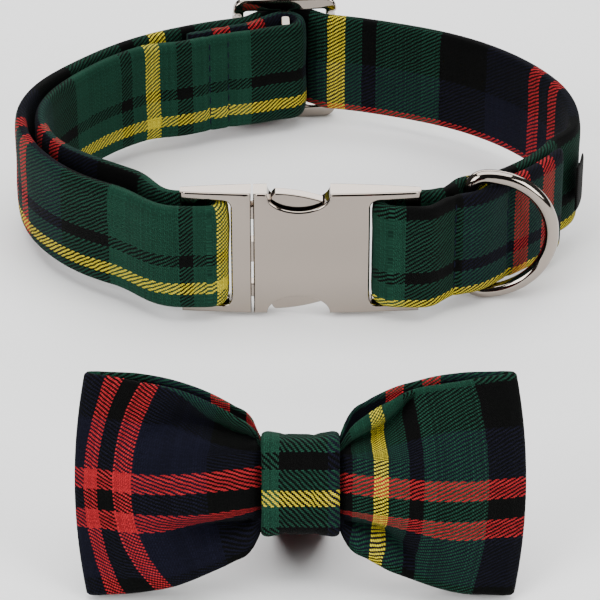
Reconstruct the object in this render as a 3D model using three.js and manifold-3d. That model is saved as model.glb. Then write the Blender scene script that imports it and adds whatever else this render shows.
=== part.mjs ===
// A pet collar of cloth-covered webbing with its bow tie, as the two stand on a table.
// The collar is one long strap, a side-release buckle in two metal parts, a slider that sets the
// length, a D-ring for the lead and a small blank label. The bow tie stands in front of it, leaning
// back on the elastic loop that slides over the strap. Millimetres, +Z up, the buckle to the front (-Y).
import * as THREE from "three";
import { mergeVertices } from "three/addons/utils/BufferGeometryUtils.js";
import Module from "manifold-3d";

const wasm = await Module();
wasm.setup();

// Strap and the loop that it makes
const STRAP_WIDTH = 25.5;
const STRAP_THICKNESS = 3;
const STRAP_EDGE_ROUND = 0.8; // how far the cloth's fold rounds each long edge
const LAYER_GAP = 0.5; // between layers that are sewn or pulled together
const LEFT_SIDE_GAP = 1.6; // between the two layers at the back left
const LEFT_FRONT_GAP = 5.2; // and near the buckle
const LEFT_FULL_GAP_START = 45; // from the buckle's middle, along the strap
const LOOP_HALF_WIDTH = 64.3; // to the strap's outer face
const LOOP_BACK_REACH = 51.5; // from the widest place back
const LOOP_FRONT_REACH = 48.5; // from the widest place to the front
const LOOP_FRONT_POWER = 2; // exponent of the front half, an ellipse
const LOOP_BACK_POWER = 1.8; // and of the back half, a little more pointed
const CLEARANCE = 0.35; // between separate pieces
const STEP_ALONG_STRAP = 4.4;
const FINE_STEP = 2.2; // where the layers part and meet

// Buckle, centred in the front
const BUCKLE_HALF_LENGTH = 26.5;
const BUCKLE_HEIGHT = 30.6;
const BUCKLE_INSET = 4.3; // of its front from the line of the loop's front
const BUCKLE_THICKNESS = 5.6; // in the middle
const BUCKLE_TIP_THICKNESS = 2.8;
const BUCKLE_FRONT_SAG = 1.2;
const BUCKLE_EDGE_BEVEL = 0.5;
const BUCKLE_SPLIT = 10.65; // from the middle to the joint between the two parts
const SPLIT_GAP = 0.5;
const WEB_SLOT_START = 15.4; // from the middle
const WEB_SLOT_END = 23.2;
const WEB_SLOT_HEIGHT = 26.6;
const SOCKET_THICKNESS = 3.6;
const SOCKET_HEIGHT = 23.6;
const SOCKET_END = 12.4;
const NOTCH_CENTRE = -0.4;
const NOTCH_HALF_LENGTH = 7;
const NOTCH_DEPTH = 4.4;
const PRONG_THICKNESS = 2.8;
const PRONG_ARM = 3.2;
const PRONG_END = 8.4;
const BUTTON_START = -6.6; // along the buckle
const BUTTON_END = 4.4;
const BUTTON_DROP = 0.5; // of its proud end below the buckle's edge
const BUTTON_SLOPE_DROP = 2.2; // of its far end
const TONGUE_HALF_HEIGHT = 2.6;

// Slider at the back
const SLIDER_LENGTH = 25.4;
const SLIDER_HEIGHT = 33;
const SLIDER_THICKNESS = 2.2;
const SLIDER_SIDE_BAR = 2.6;
const SLIDER_CENTRE_BAR = 2.2;
const SLIDER_WINDOW_HEIGHT = 26.6;
const SLIDER_CORNER = 3.2;
const SLIDER_SHIFT = 3.8; // of its middle to the left
const SLIDER_BAR_INSET = 3.8; // of the centre bar inside the strap's outer face
const HUMP_HALF_LENGTH = 11; // of the strap's way over the centre bar
const TAIL_LENGTH = 27; // of the end sewn back on itself behind the centre bar
const TAIL_RUNOUT = 14;

// D-ring in its pocket at the right of the buckle
const RING_WIRE = 3.2;
const RING_OUTER_HEIGHT = 32.7;
const RING_REACH = 20.2; // from the straight bar's middle to the outside of the bow
const RING_CORNER = 3.4;
const RING_STATION = 41.4; // along the strap from the buckle's middle
const RING_BULGE = 1.2; // of the strap's outer layer over the ring's bar
const RING_BEARING = 0; // degrees of the ring from the buckle's line, in plan
const POCKET_START = 35.4; // first row of stitches, along the strap
const POCKET_END = 51;
const FOLDOVER_END = 70.5; // where the strap's outer layer ends

// Label on the outside of the right
const LABEL_LENGTH = 8;
const LABEL_HEIGHT = 12;
const LABEL_THICKNESS = 0.9;
const LABEL_STATION = 79.5;

// Bow tie
const BOW_HALF_LENGTH = 41.2;
const BOW_END_BULGE = 2.2; // of the outer edges past their corners
const BOW_HEIGHT = 44.3;
const BOW_CLOTH = 1.5;
const BOW_HALF_DEPTH = 5.6; // from the middle plane to the crown of each layer
const BOW_END_HALF_DEPTH = 1.7;
const WAIST_HALF_HEIGHT = 7.2;
const WAIST_HALF_DEPTH = 1.95;
const FOLD_DEPTH = 2.6; // of the creases beside the knot
const KNOT_WIDTH = 15;
const KNOT_HEIGHT = 19.2; // in the middle
const KNOT_FLARE = 0.9; // more height at each side edge
const KNOT_DEPTH = 10.6;
const KNOT_CLOTH = 1.5;
const ELASTIC_WIDTH = 12;
const ELASTIC_THICKNESS = 1.2;
const ELASTIC_HEIGHT = 16.5; // of the slack loop, outside
const ELASTIC_DEPTH = 20; // behind the knot
const ELASTIC_CORNER = 4.5;
const BOW_LEAN = 22; // degrees back from upright
const BOW_GAP_TO_COLLAR = 99.6; // from the bow's foot to the front of the loop

// Worked out from the sizes above
const DECK = SLIDER_HEIGHT / 2; // height of the strap's middle above the table
const LAYER_PITCH = STRAP_THICKNESS + LAYER_GAP;
const HALF_STRAP = STRAP_THICKNESS / 2;
const SPLIT_X = -BUCKLE_SPLIT;
const FRONT_Y = BUCKLE_INSET - LOOP_FRONT_REACH;

// Turns a three.js geometry into a manifold-3d solid.
function solid(geometry) {
  const bare = (geometry.index ? geometry.toNonIndexed() : geometry).clone();
  bare.deleteAttribute("normal");
  bare.deleteAttribute("uv");
  const merged = mergeVertices(bare, 1e-4);
  return new wasm.Manifold(
    new wasm.Mesh({
      numProp: 3,
      vertProperties: merged.attributes.position.array,
      triVerts: new Uint32Array(merged.index.array),
    }),
  );
}

// Turns a manifold-3d solid back into a three.js geometry.
function geometryOf(manifold) {
  const mesh = manifold.getMesh();
  const geometry = new THREE.BufferGeometry();
  geometry.setAttribute("position", new THREE.BufferAttribute(new Float32Array(mesh.vertProperties), 3));
  geometry.setIndex(new THREE.BufferAttribute(new Uint32Array(mesh.triVerts), 1));
  geometry.computeVertexNormals();
  return geometry;
}

function box(x0, x1, y0, y1, z0, z1) {
  const geometry = new THREE.BoxGeometry(x1 - x0, y1 - y0, z1 - z0);
  return geometry.translate((x0 + x1) / 2, (y0 + y1) / 2, (z0 + z1) / 2);
}

// The corners of a rectangle with rounded corners, anticlockwise.
function roundedBox(x0, x1, y0, y1, corner, steps = 5) {
  const centres = [
    { x: x1 - corner, y: y0 + corner, from: -90 },
    { x: x1 - corner, y: y1 - corner, from: 0 },
    { x: x0 + corner, y: y1 - corner, from: 90 },
    { x: x0 + corner, y: y0 + corner, from: 180 },
  ];
  return centres.flatMap((centre) =>
    Array.from({ length: steps + 1 }, (_, i) => {
      const angle = THREE.MathUtils.degToRad(centre.from + (90 * i) / steps);
      return new THREE.Vector2(centre.x + corner * Math.cos(angle), centre.y + corner * Math.sin(angle));
    }),
  );
}

function piece(name, geometry, finish) {
  const mesh = new THREE.Mesh(geometry, finish);
  mesh.name = name;
  return mesh;
}

const FINISH = {
  tartan: new THREE.MeshStandardMaterial({ color: 0x14402f, roughness: 0.95, metalness: 0 }),
  nickel: new THREE.MeshStandardMaterial({ color: 0xc9c2bb, roughness: 0.15, metalness: 1 }),
  label: new THREE.MeshStandardMaterial({ color: 0x17130f, roughness: 0.8, metalness: 0 }),
  elastic: new THREE.MeshStandardMaterial({ color: 0x101010, roughness: 0.9, metalness: 0 }),
};

// The strap's outer face in plan, as a dense closed line that starts at the buckle's middle and runs
// to the right: an ellipse at the front and a slightly pointed half at the back.
const outline = (() => {
  const points = [];
  const lengths = [0];
  const count = 1440;
  for (let i = 0; i <= count; i++) {
    const turn = (i / count) * 2 * Math.PI - Math.PI / 2;
    const front = Math.sin(turn) < 0;
    const power = 2 / (front ? LOOP_FRONT_POWER : LOOP_BACK_POWER);
    const reach = front ? LOOP_FRONT_REACH : LOOP_BACK_REACH;
    const cosine = Math.cos(turn);
    const sine = Math.sin(turn);
    points.push(
      new THREE.Vector2(
        LOOP_HALF_WIDTH * Math.sign(cosine) * Math.abs(cosine) ** power,
        reach * Math.sign(sine) * Math.abs(sine) ** power,
      ),
    );
    if (i) lengths.push(lengths[i - 1] + points[i].distanceTo(points[i - 1]));
  }
  return { points, lengths, total: lengths[count] };
})();

// The place on the outer face that lies `along` mm from the buckle's middle, and `depth` mm inside it.
function place(along, depth) {
  const s = THREE.MathUtils.euclideanModulo(along, outline.total);
  let low = 0;
  let high = outline.lengths.length - 1;
  while (high - low > 1) {
    const middle = (low + high) >> 1;
    if (outline.lengths[middle] <= s) low = middle;
    else high = middle;
  }
  const share = (s - outline.lengths[low]) / (outline.lengths[high] - outline.lengths[low]);
  const at = outline.points[low].clone().lerp(outline.points[high], share);
  const span = 6;
  const before = outline.points[(low - span + outline.points.length - 1) % (outline.points.length - 1)];
  const after = outline.points[(high + span) % (outline.points.length - 1)];
  const ahead = after.clone().sub(before).normalize();
  const inward = new THREE.Vector2(-ahead.y, ahead.x);
  return { at: at.addScaledVector(inward, depth), ahead, inward };
}

// The distance along the outer face at a given x on the back of the loop.
function stationAtBack(x) {
  const off = (point) => (point.y > 0 ? Math.abs(point.x - x) : Infinity);
  let best = 0;
  outline.points.forEach((point, i) => {
    if (off(point) < off(outline.points[best])) best = i;
  });
  return outline.lengths[best];
}

// A depth read from a table of { along, depth } rows, eased from each row to the next.
function eased(rows, along) {
  if (along <= rows[0].along) return rows[0].depth;
  for (let i = 1; i < rows.length; i++) {
    if (along > rows[i].along) continue;
    const share = (along - rows[i - 1].along) / (rows[i].along - rows[i - 1].along);
    return THREE.MathUtils.lerp(rows[i - 1].depth, rows[i].depth, (1 - Math.cos(Math.PI * share)) / 2);
  }
  return rows[rows.length - 1].depth;
}

const buckleFront = (x) => FRONT_Y + BUCKLE_FRONT_SAG * (x / BUCKLE_HALF_LENGTH) ** 2;
const buckleThickness = (x) =>
  BUCKLE_THICKNESS - (BUCKLE_THICKNESS - BUCKLE_TIP_THICKNESS) * (x / BUCKLE_HALF_LENGTH) ** 2;

// Where the strap turns round the bar at each end of the buckle
const WEB_BAR_MIDDLE = (WEB_SLOT_END + BUCKLE_HALF_LENGTH) / 2;
const WEB_BAR_Y = buckleFront(WEB_BAR_MIDDLE) + buckleThickness(WEB_BAR_MIDDLE) / 2;
const TURN_RADIUS = buckleThickness(WEB_BAR_MIDDLE) / 2 + CLEARANCE + HALF_STRAP;
const TURN_X = WEB_SLOT_START + CLEARANCE + HALF_STRAP + TURN_RADIUS;
const WEB_END = BUCKLE_HALF_LENGTH + CLEARANCE;

// Where it turns round the slider's centre bar
const sliderStation = stationAtBack(-SLIDER_SHIFT);
const CENTRE_TURN = SLIDER_CENTRE_BAR / Math.SQRT2 + CLEARANCE + HALF_STRAP;
const hump = (along) => {
  const share = Math.abs(along - sliderStation) / HUMP_HALF_LENGTH;
  return share >= 1 ? 0 : Math.cos((Math.PI / 2) * share) ** 2;
};
const tailDepth = (along) =>
  HALF_STRAP + LAYER_PITCH - (HALF_STRAP + LAYER_PITCH - SLIDER_BAR_INSET + CENTRE_TURN) * hump(along);
const INNER_NEAR_SLIDER = HALF_STRAP + 2 * LAYER_PITCH;
const tailEnd = sliderStation + TAIL_LENGTH;

// Depths of the strap's layers near the buckle, right and left of it
const ringBarDepth = STRAP_THICKNESS - RING_BULGE + CLEARANCE + RING_WIRE / 2;
const besideRing = RING_WIRE / 2 + CLEARANCE + HALF_STRAP;
const leftFront = outline.total - LEFT_FULL_GAP_START;
const leftSide = outline.total * 0.75;
const rightOuter = [
  { along: POCKET_START, depth: HALF_STRAP - RING_BULGE / 2 },
  { along: RING_STATION, depth: ringBarDepth - besideRing },
  { along: POCKET_END, depth: HALF_STRAP },
  { along: FOLDOVER_END, depth: HALF_STRAP },
];
const rightInner = [
  { along: POCKET_START, depth: HALF_STRAP + LAYER_PITCH },
  { along: RING_STATION, depth: ringBarDepth + besideRing },
  { along: POCKET_END, depth: HALF_STRAP + LAYER_PITCH },
  { along: FOLDOVER_END + 2, depth: HALF_STRAP + LAYER_PITCH },
  { along: FOLDOVER_END + TAIL_RUNOUT, depth: HALF_STRAP },
];
const leftInner = [
  { along: tailEnd + 1, depth: INNER_NEAR_SLIDER },
  { along: tailEnd + TAIL_RUNOUT, depth: HALF_STRAP + STRAP_THICKNESS + LEFT_SIDE_GAP },
  { along: leftSide, depth: HALF_STRAP + STRAP_THICKNESS + LEFT_SIDE_GAP },
  { along: leftFront, depth: HALF_STRAP + STRAP_THICKNESS + LEFT_FRONT_GAP },
];

// Points along the loop from one station to another, at the depth that a function gives.
function run(from, to, depthAt, step = STEP_ALONG_STRAP) {
  const count = Math.max(2, Math.round(Math.abs(to - from) / step));
  return Array.from({ length: count + 1 }, (_, i) => {
    const along = from + ((to - from) * i) / count;
    return place(along, depthAt(along)).at;
  });
}

// Points on a half turn about a centre, from one bearing through another number of degrees.
function halfTurn(centre, radius, fromDegrees, sweepDegrees, count = 9) {
  return Array.from({ length: count - 1 }, (_, i) => {
    const angle = THREE.MathUtils.degToRad(fromDegrees + (sweepDegrees * (i + 1)) / count);
    return new THREE.Vector2(centre.x + radius * Math.cos(angle), centre.y + radius * Math.sin(angle));
  });
}

// The layer that lies outside another one, parallel to it, where the inner one swings in and out.
function runOutside(from, to, depthAt, amount, step) {
  const count = Math.round(Math.abs(to - from) / step);
  return Array.from({ length: count + 1 }, (_, i) => {
    const along = from + ((to - from) * i) / count;
    const slope = (depthAt(along + 0.1) - depthAt(along - 0.1)) / 0.2;
    const length = Math.hypot(1, slope);
    return place(along + (amount * slope) / length, depthAt(along) - amount / length).at;
  });
}

// The strap's turn through the buckle's slot: side is -1 for the left end and 1 for the right, and
// level is 1 for the layer behind the end bar and -1 for the one in front.
function besideBar(side, level, along, depth) {
  const y = WEB_BAR_Y + level * TURN_RADIUS;
  const near = place(along, depth);
  const far = new THREE.Vector2(side * WEB_END, y);
  const reach = 0.4 * near.at.distanceTo(far);
  const curve = new THREE.CubicBezierCurve(
    far,
    new THREE.Vector2(side * (WEB_END + reach), y),
    near.at.clone().addScaledVector(near.ahead, -side * reach),
    near.at,
  );
  return [new THREE.Vector2(side * TURN_X, y), ...curve.getPoints(5).slice(0, -1)];
}

// The strap's middle line in plan, from the sewn-back tail at the slider to the end by the label.
function strapRoute() {
  const centre = place(sliderStation, SLIDER_BAR_INSET);
  const bearing = THREE.MathUtils.radToDeg(Math.atan2(centre.inward.y, centre.inward.x));
  const humpEnd = sliderStation + HUMP_HALF_LENGTH;
  const humpStart = sliderStation - HUMP_HALF_LENGTH;
  const awayFromBar = (s) =>
    INNER_NEAR_SLIDER - (INNER_NEAR_SLIDER - SLIDER_BAR_INSET - CENTRE_TURN) * hump(s);
  const leftTurn = new THREE.Vector2(-TURN_X, WEB_BAR_Y);
  const rightTurn = new THREE.Vector2(TURN_X, WEB_BAR_Y);
  const runout = FOLDOVER_END + TAIL_RUNOUT;
  return [
    ...run(tailEnd, humpEnd, tailDepth),
    ...run(humpEnd, sliderStation, tailDepth, FINE_STEP).slice(1),
    ...halfTurn(centre.at, CENTRE_TURN, bearing + 180, -180),
    ...run(sliderStation, humpEnd, awayFromBar, FINE_STEP),
    ...run(humpEnd, leftFront, (s) => eased(leftInner, s)).slice(1),
    ...besideBar(-1, 1, leftFront, leftInner[leftInner.length - 1].depth).reverse(),
    ...halfTurn(leftTurn, TURN_RADIUS, 90, -180),
    ...besideBar(-1, -1, leftFront, HALF_STRAP),
    ...run(leftFront, humpEnd + FINE_STEP, () => HALF_STRAP),
    ...runOutside(humpEnd, humpStart, tailDepth, LAYER_PITCH, FINE_STEP / 2),
    ...run(humpStart - FINE_STEP, runout, () => HALF_STRAP),
    ...run(runout, POCKET_START, (s) => eased(rightInner, s), FINE_STEP).slice(1),
    ...besideBar(1, 1, POCKET_START, rightInner[0].depth).reverse(),
    ...halfTurn(rightTurn, TURN_RADIUS, 90, 180),
    ...besideBar(1, -1, POCKET_START, rightOuter[0].depth),
    ...run(POCKET_START, FOLDOVER_END, (s) => eased(rightOuter, s), FINE_STEP),
  ];
}

// A ribbon that stands on edge: the route in plan, with a section whose long edges are rounded off.
function ribbon(route, thickness, low, height, round) {
  const half = thickness / 2;
  const section = [
    { aside: half - round, up: 0 },
    { aside: half, up: round },
    { aside: half, up: height - round },
    { aside: half - round, up: height },
    { aside: -half + round, up: height },
    { aside: -half, up: height - round },
    { aside: -half, up: round },
    { aside: -half + round, up: 0 },
  ];
  const positions = [];
  route.forEach((point, i) => {
    const before = route[Math.max(0, i - 1)];
    const after = route[Math.min(route.length - 1, i + 1)];
    const ahead = after.clone().sub(before).normalize();
    for (const corner of section) {
      positions.push(point.x - ahead.y * corner.aside, point.y + ahead.x * corner.aside, low + corner.up);
    }
  });
  const index = [];
  const sides = section.length;
  for (let i = 0; i + 1 < route.length; i++) {
    for (let k = 0; k < sides; k++) {
      const here = i * sides;
      const next = (k + 1) % sides;
      index.push(here + k, here + sides + next, here + sides + k);
      index.push(here + k, here + next, here + sides + next);
    }
  }
  const last = (route.length - 1) * sides;
  for (let k = 1; k + 1 < sides; k++) index.push(0, k + 1, k, last, last + k, last + k + 1);
  const geometry = new THREE.BufferGeometry();
  geometry.setAttribute("position", new THREE.BufferAttribute(new Float32Array(positions), 3));
  geometry.setIndex(index);
  geometry.computeVertexNormals();
  return geometry;
}

function strap() {
  return ribbon(strapRoute(), STRAP_THICKNESS, DECK - STRAP_WIDTH / 2, STRAP_WIDTH, STRAP_EDGE_ROUND);
}

// A stretch of the buckle's body: bowed front and back faces between two x values, extruded upwards.
function buckleBody(x0, x1) {
  const count = 8;
  const xs = Array.from({ length: count + 1 }, (_, i) => x0 + ((x1 - x0) * i) / count);
  const shape = new THREE.Shape([
    ...xs.map((x) => new THREE.Vector2(x, buckleFront(x))),
    ...xs.reverse().map((x) => new THREE.Vector2(x, buckleFront(x) + buckleThickness(x))),
  ]);
  const geometry = new THREE.ExtrudeGeometry(shape, {
    depth: BUCKLE_HEIGHT - 2 * BUCKLE_EDGE_BEVEL,
    steps: 1,
    bevelEnabled: true,
    bevelSegments: 1,
    bevelThickness: BUCKLE_EDGE_BEVEL,
    bevelSize: BUCKLE_EDGE_BEVEL,
    bevelOffset: -BUCKLE_EDGE_BEVEL,
  });
  return solid(geometry.translate(0, 0, DECK - BUCKLE_HEIGHT / 2 + BUCKLE_EDGE_BEVEL));
}

function webSlot(side) {
  const ends = [side * WEB_SLOT_START, side * WEB_SLOT_END].sort((a, b) => a - b);
  const reach = BUCKLE_THICKNESS;
  return solid(
    box(
      ends[0], ends[1],
      FRONT_Y - reach, FRONT_Y + 2 * reach,
      DECK - WEB_SLOT_HEIGHT / 2, DECK + WEB_SLOT_HEIGHT / 2,
    ),
  );
}

// An outline in the plane of the buckle (x along it, height from the middle), extruded through it.
function throughBuckle(shape, thickness) {
  const options = { depth: thickness, bevelEnabled: false, curveSegments: 10 };
  const geometry = new THREE.ExtrudeGeometry(shape, options).rotateX(Math.PI / 2);
  return solid(geometry.translate(0, FRONT_Y + BUCKLE_THICKNESS / 2 + thickness / 2, DECK));
}

function buckleHousing() {
  const half = BUCKLE_HEIGHT / 2;
  let body = buckleBody(SPLIT_X + SPLIT_GAP / 2, BUCKLE_HALF_LENGTH).subtract(webSlot(1));
  const middle = FRONT_Y + BUCKLE_THICKNESS / 2;
  const socket = box(
    SPLIT_X - SPLIT_GAP, SOCKET_END,
    middle - SOCKET_THICKNESS / 2, middle + SOCKET_THICKNESS / 2,
    DECK - SOCKET_HEIGHT / 2, DECK + SOCKET_HEIGHT / 2,
  );
  body = body.subtract(solid(socket));
  for (const side of [-1, 1]) {
    const notch = new THREE.Shape();
    notch.absellipse(NOTCH_CENTRE, side * half, NOTCH_HALF_LENGTH, NOTCH_DEPTH, 0, 2 * Math.PI);
    body = body.subtract(throughBuckle(notch, 4 * BUCKLE_THICKNESS));
    const heights = [side * (SOCKET_HEIGHT / 2 - CLEARANCE), side * (half + CLEARANCE)].sort((a, b) => a - b);
    const window = box(
      BUTTON_START - CLEARANCE, BUTTON_END + 2 * CLEARANCE,
      middle - SOCKET_THICKNESS / 2, middle + SOCKET_THICKNESS / 2,
      DECK + heights[0], DECK + heights[1],
    );
    body = body.subtract(solid(window));
  }
  return geometryOf(body);
}

// One springy arm with the button that is squeezed to let it go; side is -1 below and 1 above.
function prong(side) {
  const half = BUCKLE_HEIGHT / 2;
  const outer = SOCKET_HEIGHT / 2 - CLEARANCE;
  const rows = [
    { x: SPLIT_X - SPLIT_GAP, z: outer },
    { x: BUTTON_START, z: outer },
    { x: BUTTON_START + 0.4, z: half - BUTTON_DROP },
    { x: (BUTTON_START + BUTTON_END) / 2, z: half - BUTTON_DROP - BUTTON_SLOPE_DROP / 5 },
    { x: BUTTON_END, z: half - BUTTON_DROP - BUTTON_SLOPE_DROP },
    { x: BUTTON_END + 0.6, z: outer },
    { x: PRONG_END, z: outer - PRONG_ARM / 3 },
    { x: PRONG_END, z: outer - PRONG_ARM },
    { x: SPLIT_X - SPLIT_GAP, z: outer - PRONG_ARM },
  ].map((row) => new THREE.Vector2(row.x, side * row.z));
  return throughBuckle(new THREE.Shape(side > 0 ? rows.reverse() : rows), PRONG_THICKNESS);
}

function buckleClip() {
  let body = buckleBody(-BUCKLE_HALF_LENGTH, SPLIT_X - SPLIT_GAP / 2).subtract(webSlot(-1));
  for (const side of [-1, 1]) body = body.add(prong(side));
  const tongue = new THREE.Shape([
    new THREE.Vector2(SPLIT_X - SPLIT_GAP, -TONGUE_HALF_HEIGHT),
    new THREE.Vector2(PRONG_END, -TONGUE_HALF_HEIGHT),
    new THREE.Vector2(PRONG_END, TONGUE_HALF_HEIGHT),
    new THREE.Vector2(SPLIT_X - SPLIT_GAP, TONGUE_HALF_HEIGHT),
  ]);
  return geometryOf(body.add(throughBuckle(tongue, PRONG_THICKNESS)));
}

// The slider is a bent plate with two windows, made at the origin and set on the strap.
function slider() {
  const centre = place(sliderStation, 0);
  const half = SLIDER_LENGTH / 2;
  const sideReach = half - SLIDER_SIDE_BAR / 2;
  const falls = [-half, -sideReach, sideReach, half].map((reach) =>
    place(sliderStation + reach, 0).at.clone().sub(centre.at).dot(centre.inward));
  const fallAway = Math.min(...falls);
  const besideBar = sliderStation + half - SLIDER_SIDE_BAR - STRAP_THICKNESS;
  const rise = tailDepth(sliderStation + HUMP_HALF_LENGTH) - tailDepth(besideBar);
  const sideDepth = fallAway - rise - 2 * CLEARANCE - SLIDER_THICKNESS / 2;
  const bend = (x) => SLIDER_BAR_INSET + (sideDepth - SLIDER_BAR_INSET) * (x / sideReach) ** 2;
  const count = 12;
  const xs = Array.from({ length: count + 1 }, (_, i) => -half + (SLIDER_LENGTH * i) / count);
  const shape = new THREE.Shape([
    ...xs.map((x) => new THREE.Vector2(x, bend(x) - SLIDER_THICKNESS / 2)),
    ...xs.reverse().map((x) => new THREE.Vector2(x, bend(x) + SLIDER_THICKNESS / 2)),
  ]);
  const plate = solid(new THREE.ExtrudeGeometry(shape, { depth: SLIDER_HEIGHT, bevelEnabled: false }));
  const face = new THREE.Shape(roundedBox(-half, half, 0, SLIDER_HEIGHT, SLIDER_CORNER));
  const reach = 6 * SLIDER_THICKNESS;
  const cutter = new THREE.ExtrudeGeometry(face, { depth: reach, bevelEnabled: false });
  cutter.rotateX(Math.PI / 2).translate(0, reach / 2, 0);
  let body = plate.intersect(solid(cutter));
  const rim = (SLIDER_HEIGHT - SLIDER_WINDOW_HEIGHT) / 2;
  for (const side of [-1, 1]) {
    const ends = [(side * SLIDER_CENTRE_BAR) / 2, side * (half - SLIDER_SIDE_BAR)].sort((a, b) => a - b);
    body = body.subtract(solid(box(ends[0], ends[1], -reach, reach, rim, SLIDER_HEIGHT - rim)));
  }
  const geometry = geometryOf(body);
  const basis = new THREE.Matrix4().makeBasis(
    new THREE.Vector3(centre.ahead.x, centre.ahead.y, 0),
    new THREE.Vector3(centre.inward.x, centre.inward.y, 0),
    new THREE.Vector3(0, 0, 1),
  );
  basis.setPosition(centre.at.x, centre.at.y, DECK - SLIDER_HEIGHT / 2);
  return geometry.applyMatrix4(basis);
}

// The D-ring's wire in its own plane: x away from the straight bar, y up.
function ringPath() {
  const wire = RING_WIRE / 2;
  const half = RING_OUTER_HEIGHT / 2 - wire;
  const legs = RING_REACH - wire - half;
  const corner = Math.min(RING_CORNER, legs);
  const path = new THREE.CurvePath();
  const at = (x, z) => new THREE.Vector3(x, 0, z);
  path.add(new THREE.LineCurve3(at(0, half - corner), at(0, -half + corner)));
  path.add(new THREE.QuadraticBezierCurve3(at(0, -half + corner), at(0, -half), at(corner, -half)));
  path.add(new THREE.LineCurve3(at(corner, -half), at(legs + 1e-3, -half)));
  const bow = new THREE.Curve();
  bow.getPoint = (t, target = new THREE.Vector3()) => {
    const angle = -Math.PI / 2 + Math.PI * t;
    return target.set(legs + half * Math.cos(angle), 0, half * Math.sin(angle));
  };
  path.add(bow);
  path.add(new THREE.LineCurve3(at(legs + 1e-3, half), at(corner, half)));
  path.add(new THREE.QuadraticBezierCurve3(at(corner, half), at(0, half), at(0, half - corner)));
  return path;
}

function ring() {
  const geometry = new THREE.TubeGeometry(ringPath(), 54, RING_WIRE / 2, 10, true);
  const bar = place(RING_STATION, ringBarDepth).at;
  geometry.rotateZ(THREE.MathUtils.degToRad(RING_BEARING));
  return geometryOf(solid(geometry.translate(bar.x, bar.y, DECK)));
}

function label() {
  const half = LABEL_LENGTH / 2;
  const depth = -CLEARANCE - LABEL_THICKNESS / 2;
  const route = run(LABEL_STATION - half, LABEL_STATION + half, () => depth, LABEL_LENGTH / 4);
  return ribbon(route, LABEL_THICKNESS, DECK - LABEL_HEIGHT / 2, LABEL_HEIGHT, LABEL_THICKNESS / 4);
}

// Outline of each wing from the knot to its outer edge, as shares of the bow's half height.
const wingOutline = [
  { share: 0.0, leftTop: 0.33, leftFoot: 0.33, rightTop: 0.33, rightFoot: 0.33 },
  { share: 0.08, leftTop: 0.56, leftFoot: 0.58, rightTop: 0.59, rightFoot: 0.56 },
  { share: 0.16, leftTop: 0.665, leftFoot: 0.685, rightTop: 0.71, rightFoot: 0.665 },
  { share: 0.28, leftTop: 0.765, leftFoot: 0.775, rightTop: 0.805, rightFoot: 0.775 },
  { share: 0.46, leftTop: 0.88, leftFoot: 0.88, rightTop: 0.905, rightFoot: 0.875 },
  { share: 0.7, leftTop: 0.962, leftFoot: 0.945, rightTop: 0.963, rightFoot: 0.956 },
  { share: 1.0, leftTop: 1.0, leftFoot: 1.0, rightTop: 1.0, rightFoot: 1.0 },
];

// Crests and creases of the cloth where it is gathered: how far forward each height stands.
const gathers = [
  { height: -1.0, forward: 0.25 },
  { height: -0.72, forward: 0.6 },
  { height: -0.42, forward: -1.0 },
  { height: -0.22, forward: 0.8 },
  { height: 0.22, forward: 1.0 },
  { height: 0.58, forward: -0.9 },
  { height: 0.84, forward: 0.7 },
  { height: 1.0, forward: 0.3 },
];

// Half depth of the wing between its middle plane and each layer, as a share of the crown.
const wingDepth = [
  { share: 0.0, depth: 0 },
  { share: 0.45, depth: 1.0 },
  { share: 0.75, depth: 0.82 },
  { share: 1.0, depth: 0.3 },
];

// A smooth curve through the rows of one column, read at a share.
function smoothReading(rows, column, share) {
  const curve = new THREE.CubicInterpolant(rows.map((row) => row.share), rows.map((row) => row[column]), 1);
  return curve.evaluate(share)[0];
}

// Reads one column of a table at a value of its first column, eased between rows.
function reading(rows, key, column, value) {
  return eased(rows.map((row) => ({ along: row[key], depth: row[column] })), value);
}

// The middle surface of the bow's cloth. turn runs 0 to 1 round the closed band (front face from the
// left edge to the right edge, then the back face), height runs -1 to 1.
function bowSurface(turn, height) {
  const front = turn < 0.5;
  const sweep = front ? turn * 2 : (1 - turn) * 2;
  const angle = Math.PI * (sweep - 0.5);
  const across = Math.sin(angle);
  const side = across < 0 ? "left" : "right";
  const span = Math.abs(across);
  const knot = KNOT_WIDTH / 2 / BOW_HALF_LENGTH;
  const share = Math.max(0, (span - knot) / (1 - knot));
  const half = BOW_HEIGHT / 2;
  const column = side + (height > 0 ? "Top" : "Foot");
  const waist = WAIST_HALF_HEIGHT / half;
  const outside = smoothReading(wingOutline, column, share);
  const rise = THREE.MathUtils.lerp(waist, outside, Math.min(1, span / knot) ** 2);
  const x = across * (BOW_HALF_LENGTH + BOW_END_BULGE * (1 - height * height) * span ** 4);
  const z = height * half * rise;
  const crown = reading(wingDepth, "share", "depth", share) * (BOW_HALF_DEPTH - WAIST_HALF_DEPTH);
  const edge = Math.sqrt(Math.max(0, 1 - span * span));
  const closing = Math.min(1, edge / 0.45);
  const flat = WAIST_HALF_DEPTH + crown * (1 - 0.45 * height * height);
  const ends = Math.max(0, (share - 0.75) / 0.25);
  const plain = THREE.MathUtils.lerp(flat, BOW_END_HALF_DEPTH, ends * ends) * closing;
  const gathered = Math.sin(Math.PI * Math.min(1, share / 0.7)) ** 0.8;
  const crease = reading(gathers, "height", "forward", height) * FOLD_DEPTH * gathered * (front ? 1 : 0.5);
  const away = Math.max(plain + crease * Math.min(1, closing), Math.min(plain, WAIST_HALF_DEPTH));
  return new THREE.Vector3(x, (front ? -1 : 1) * away, z);
}

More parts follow.
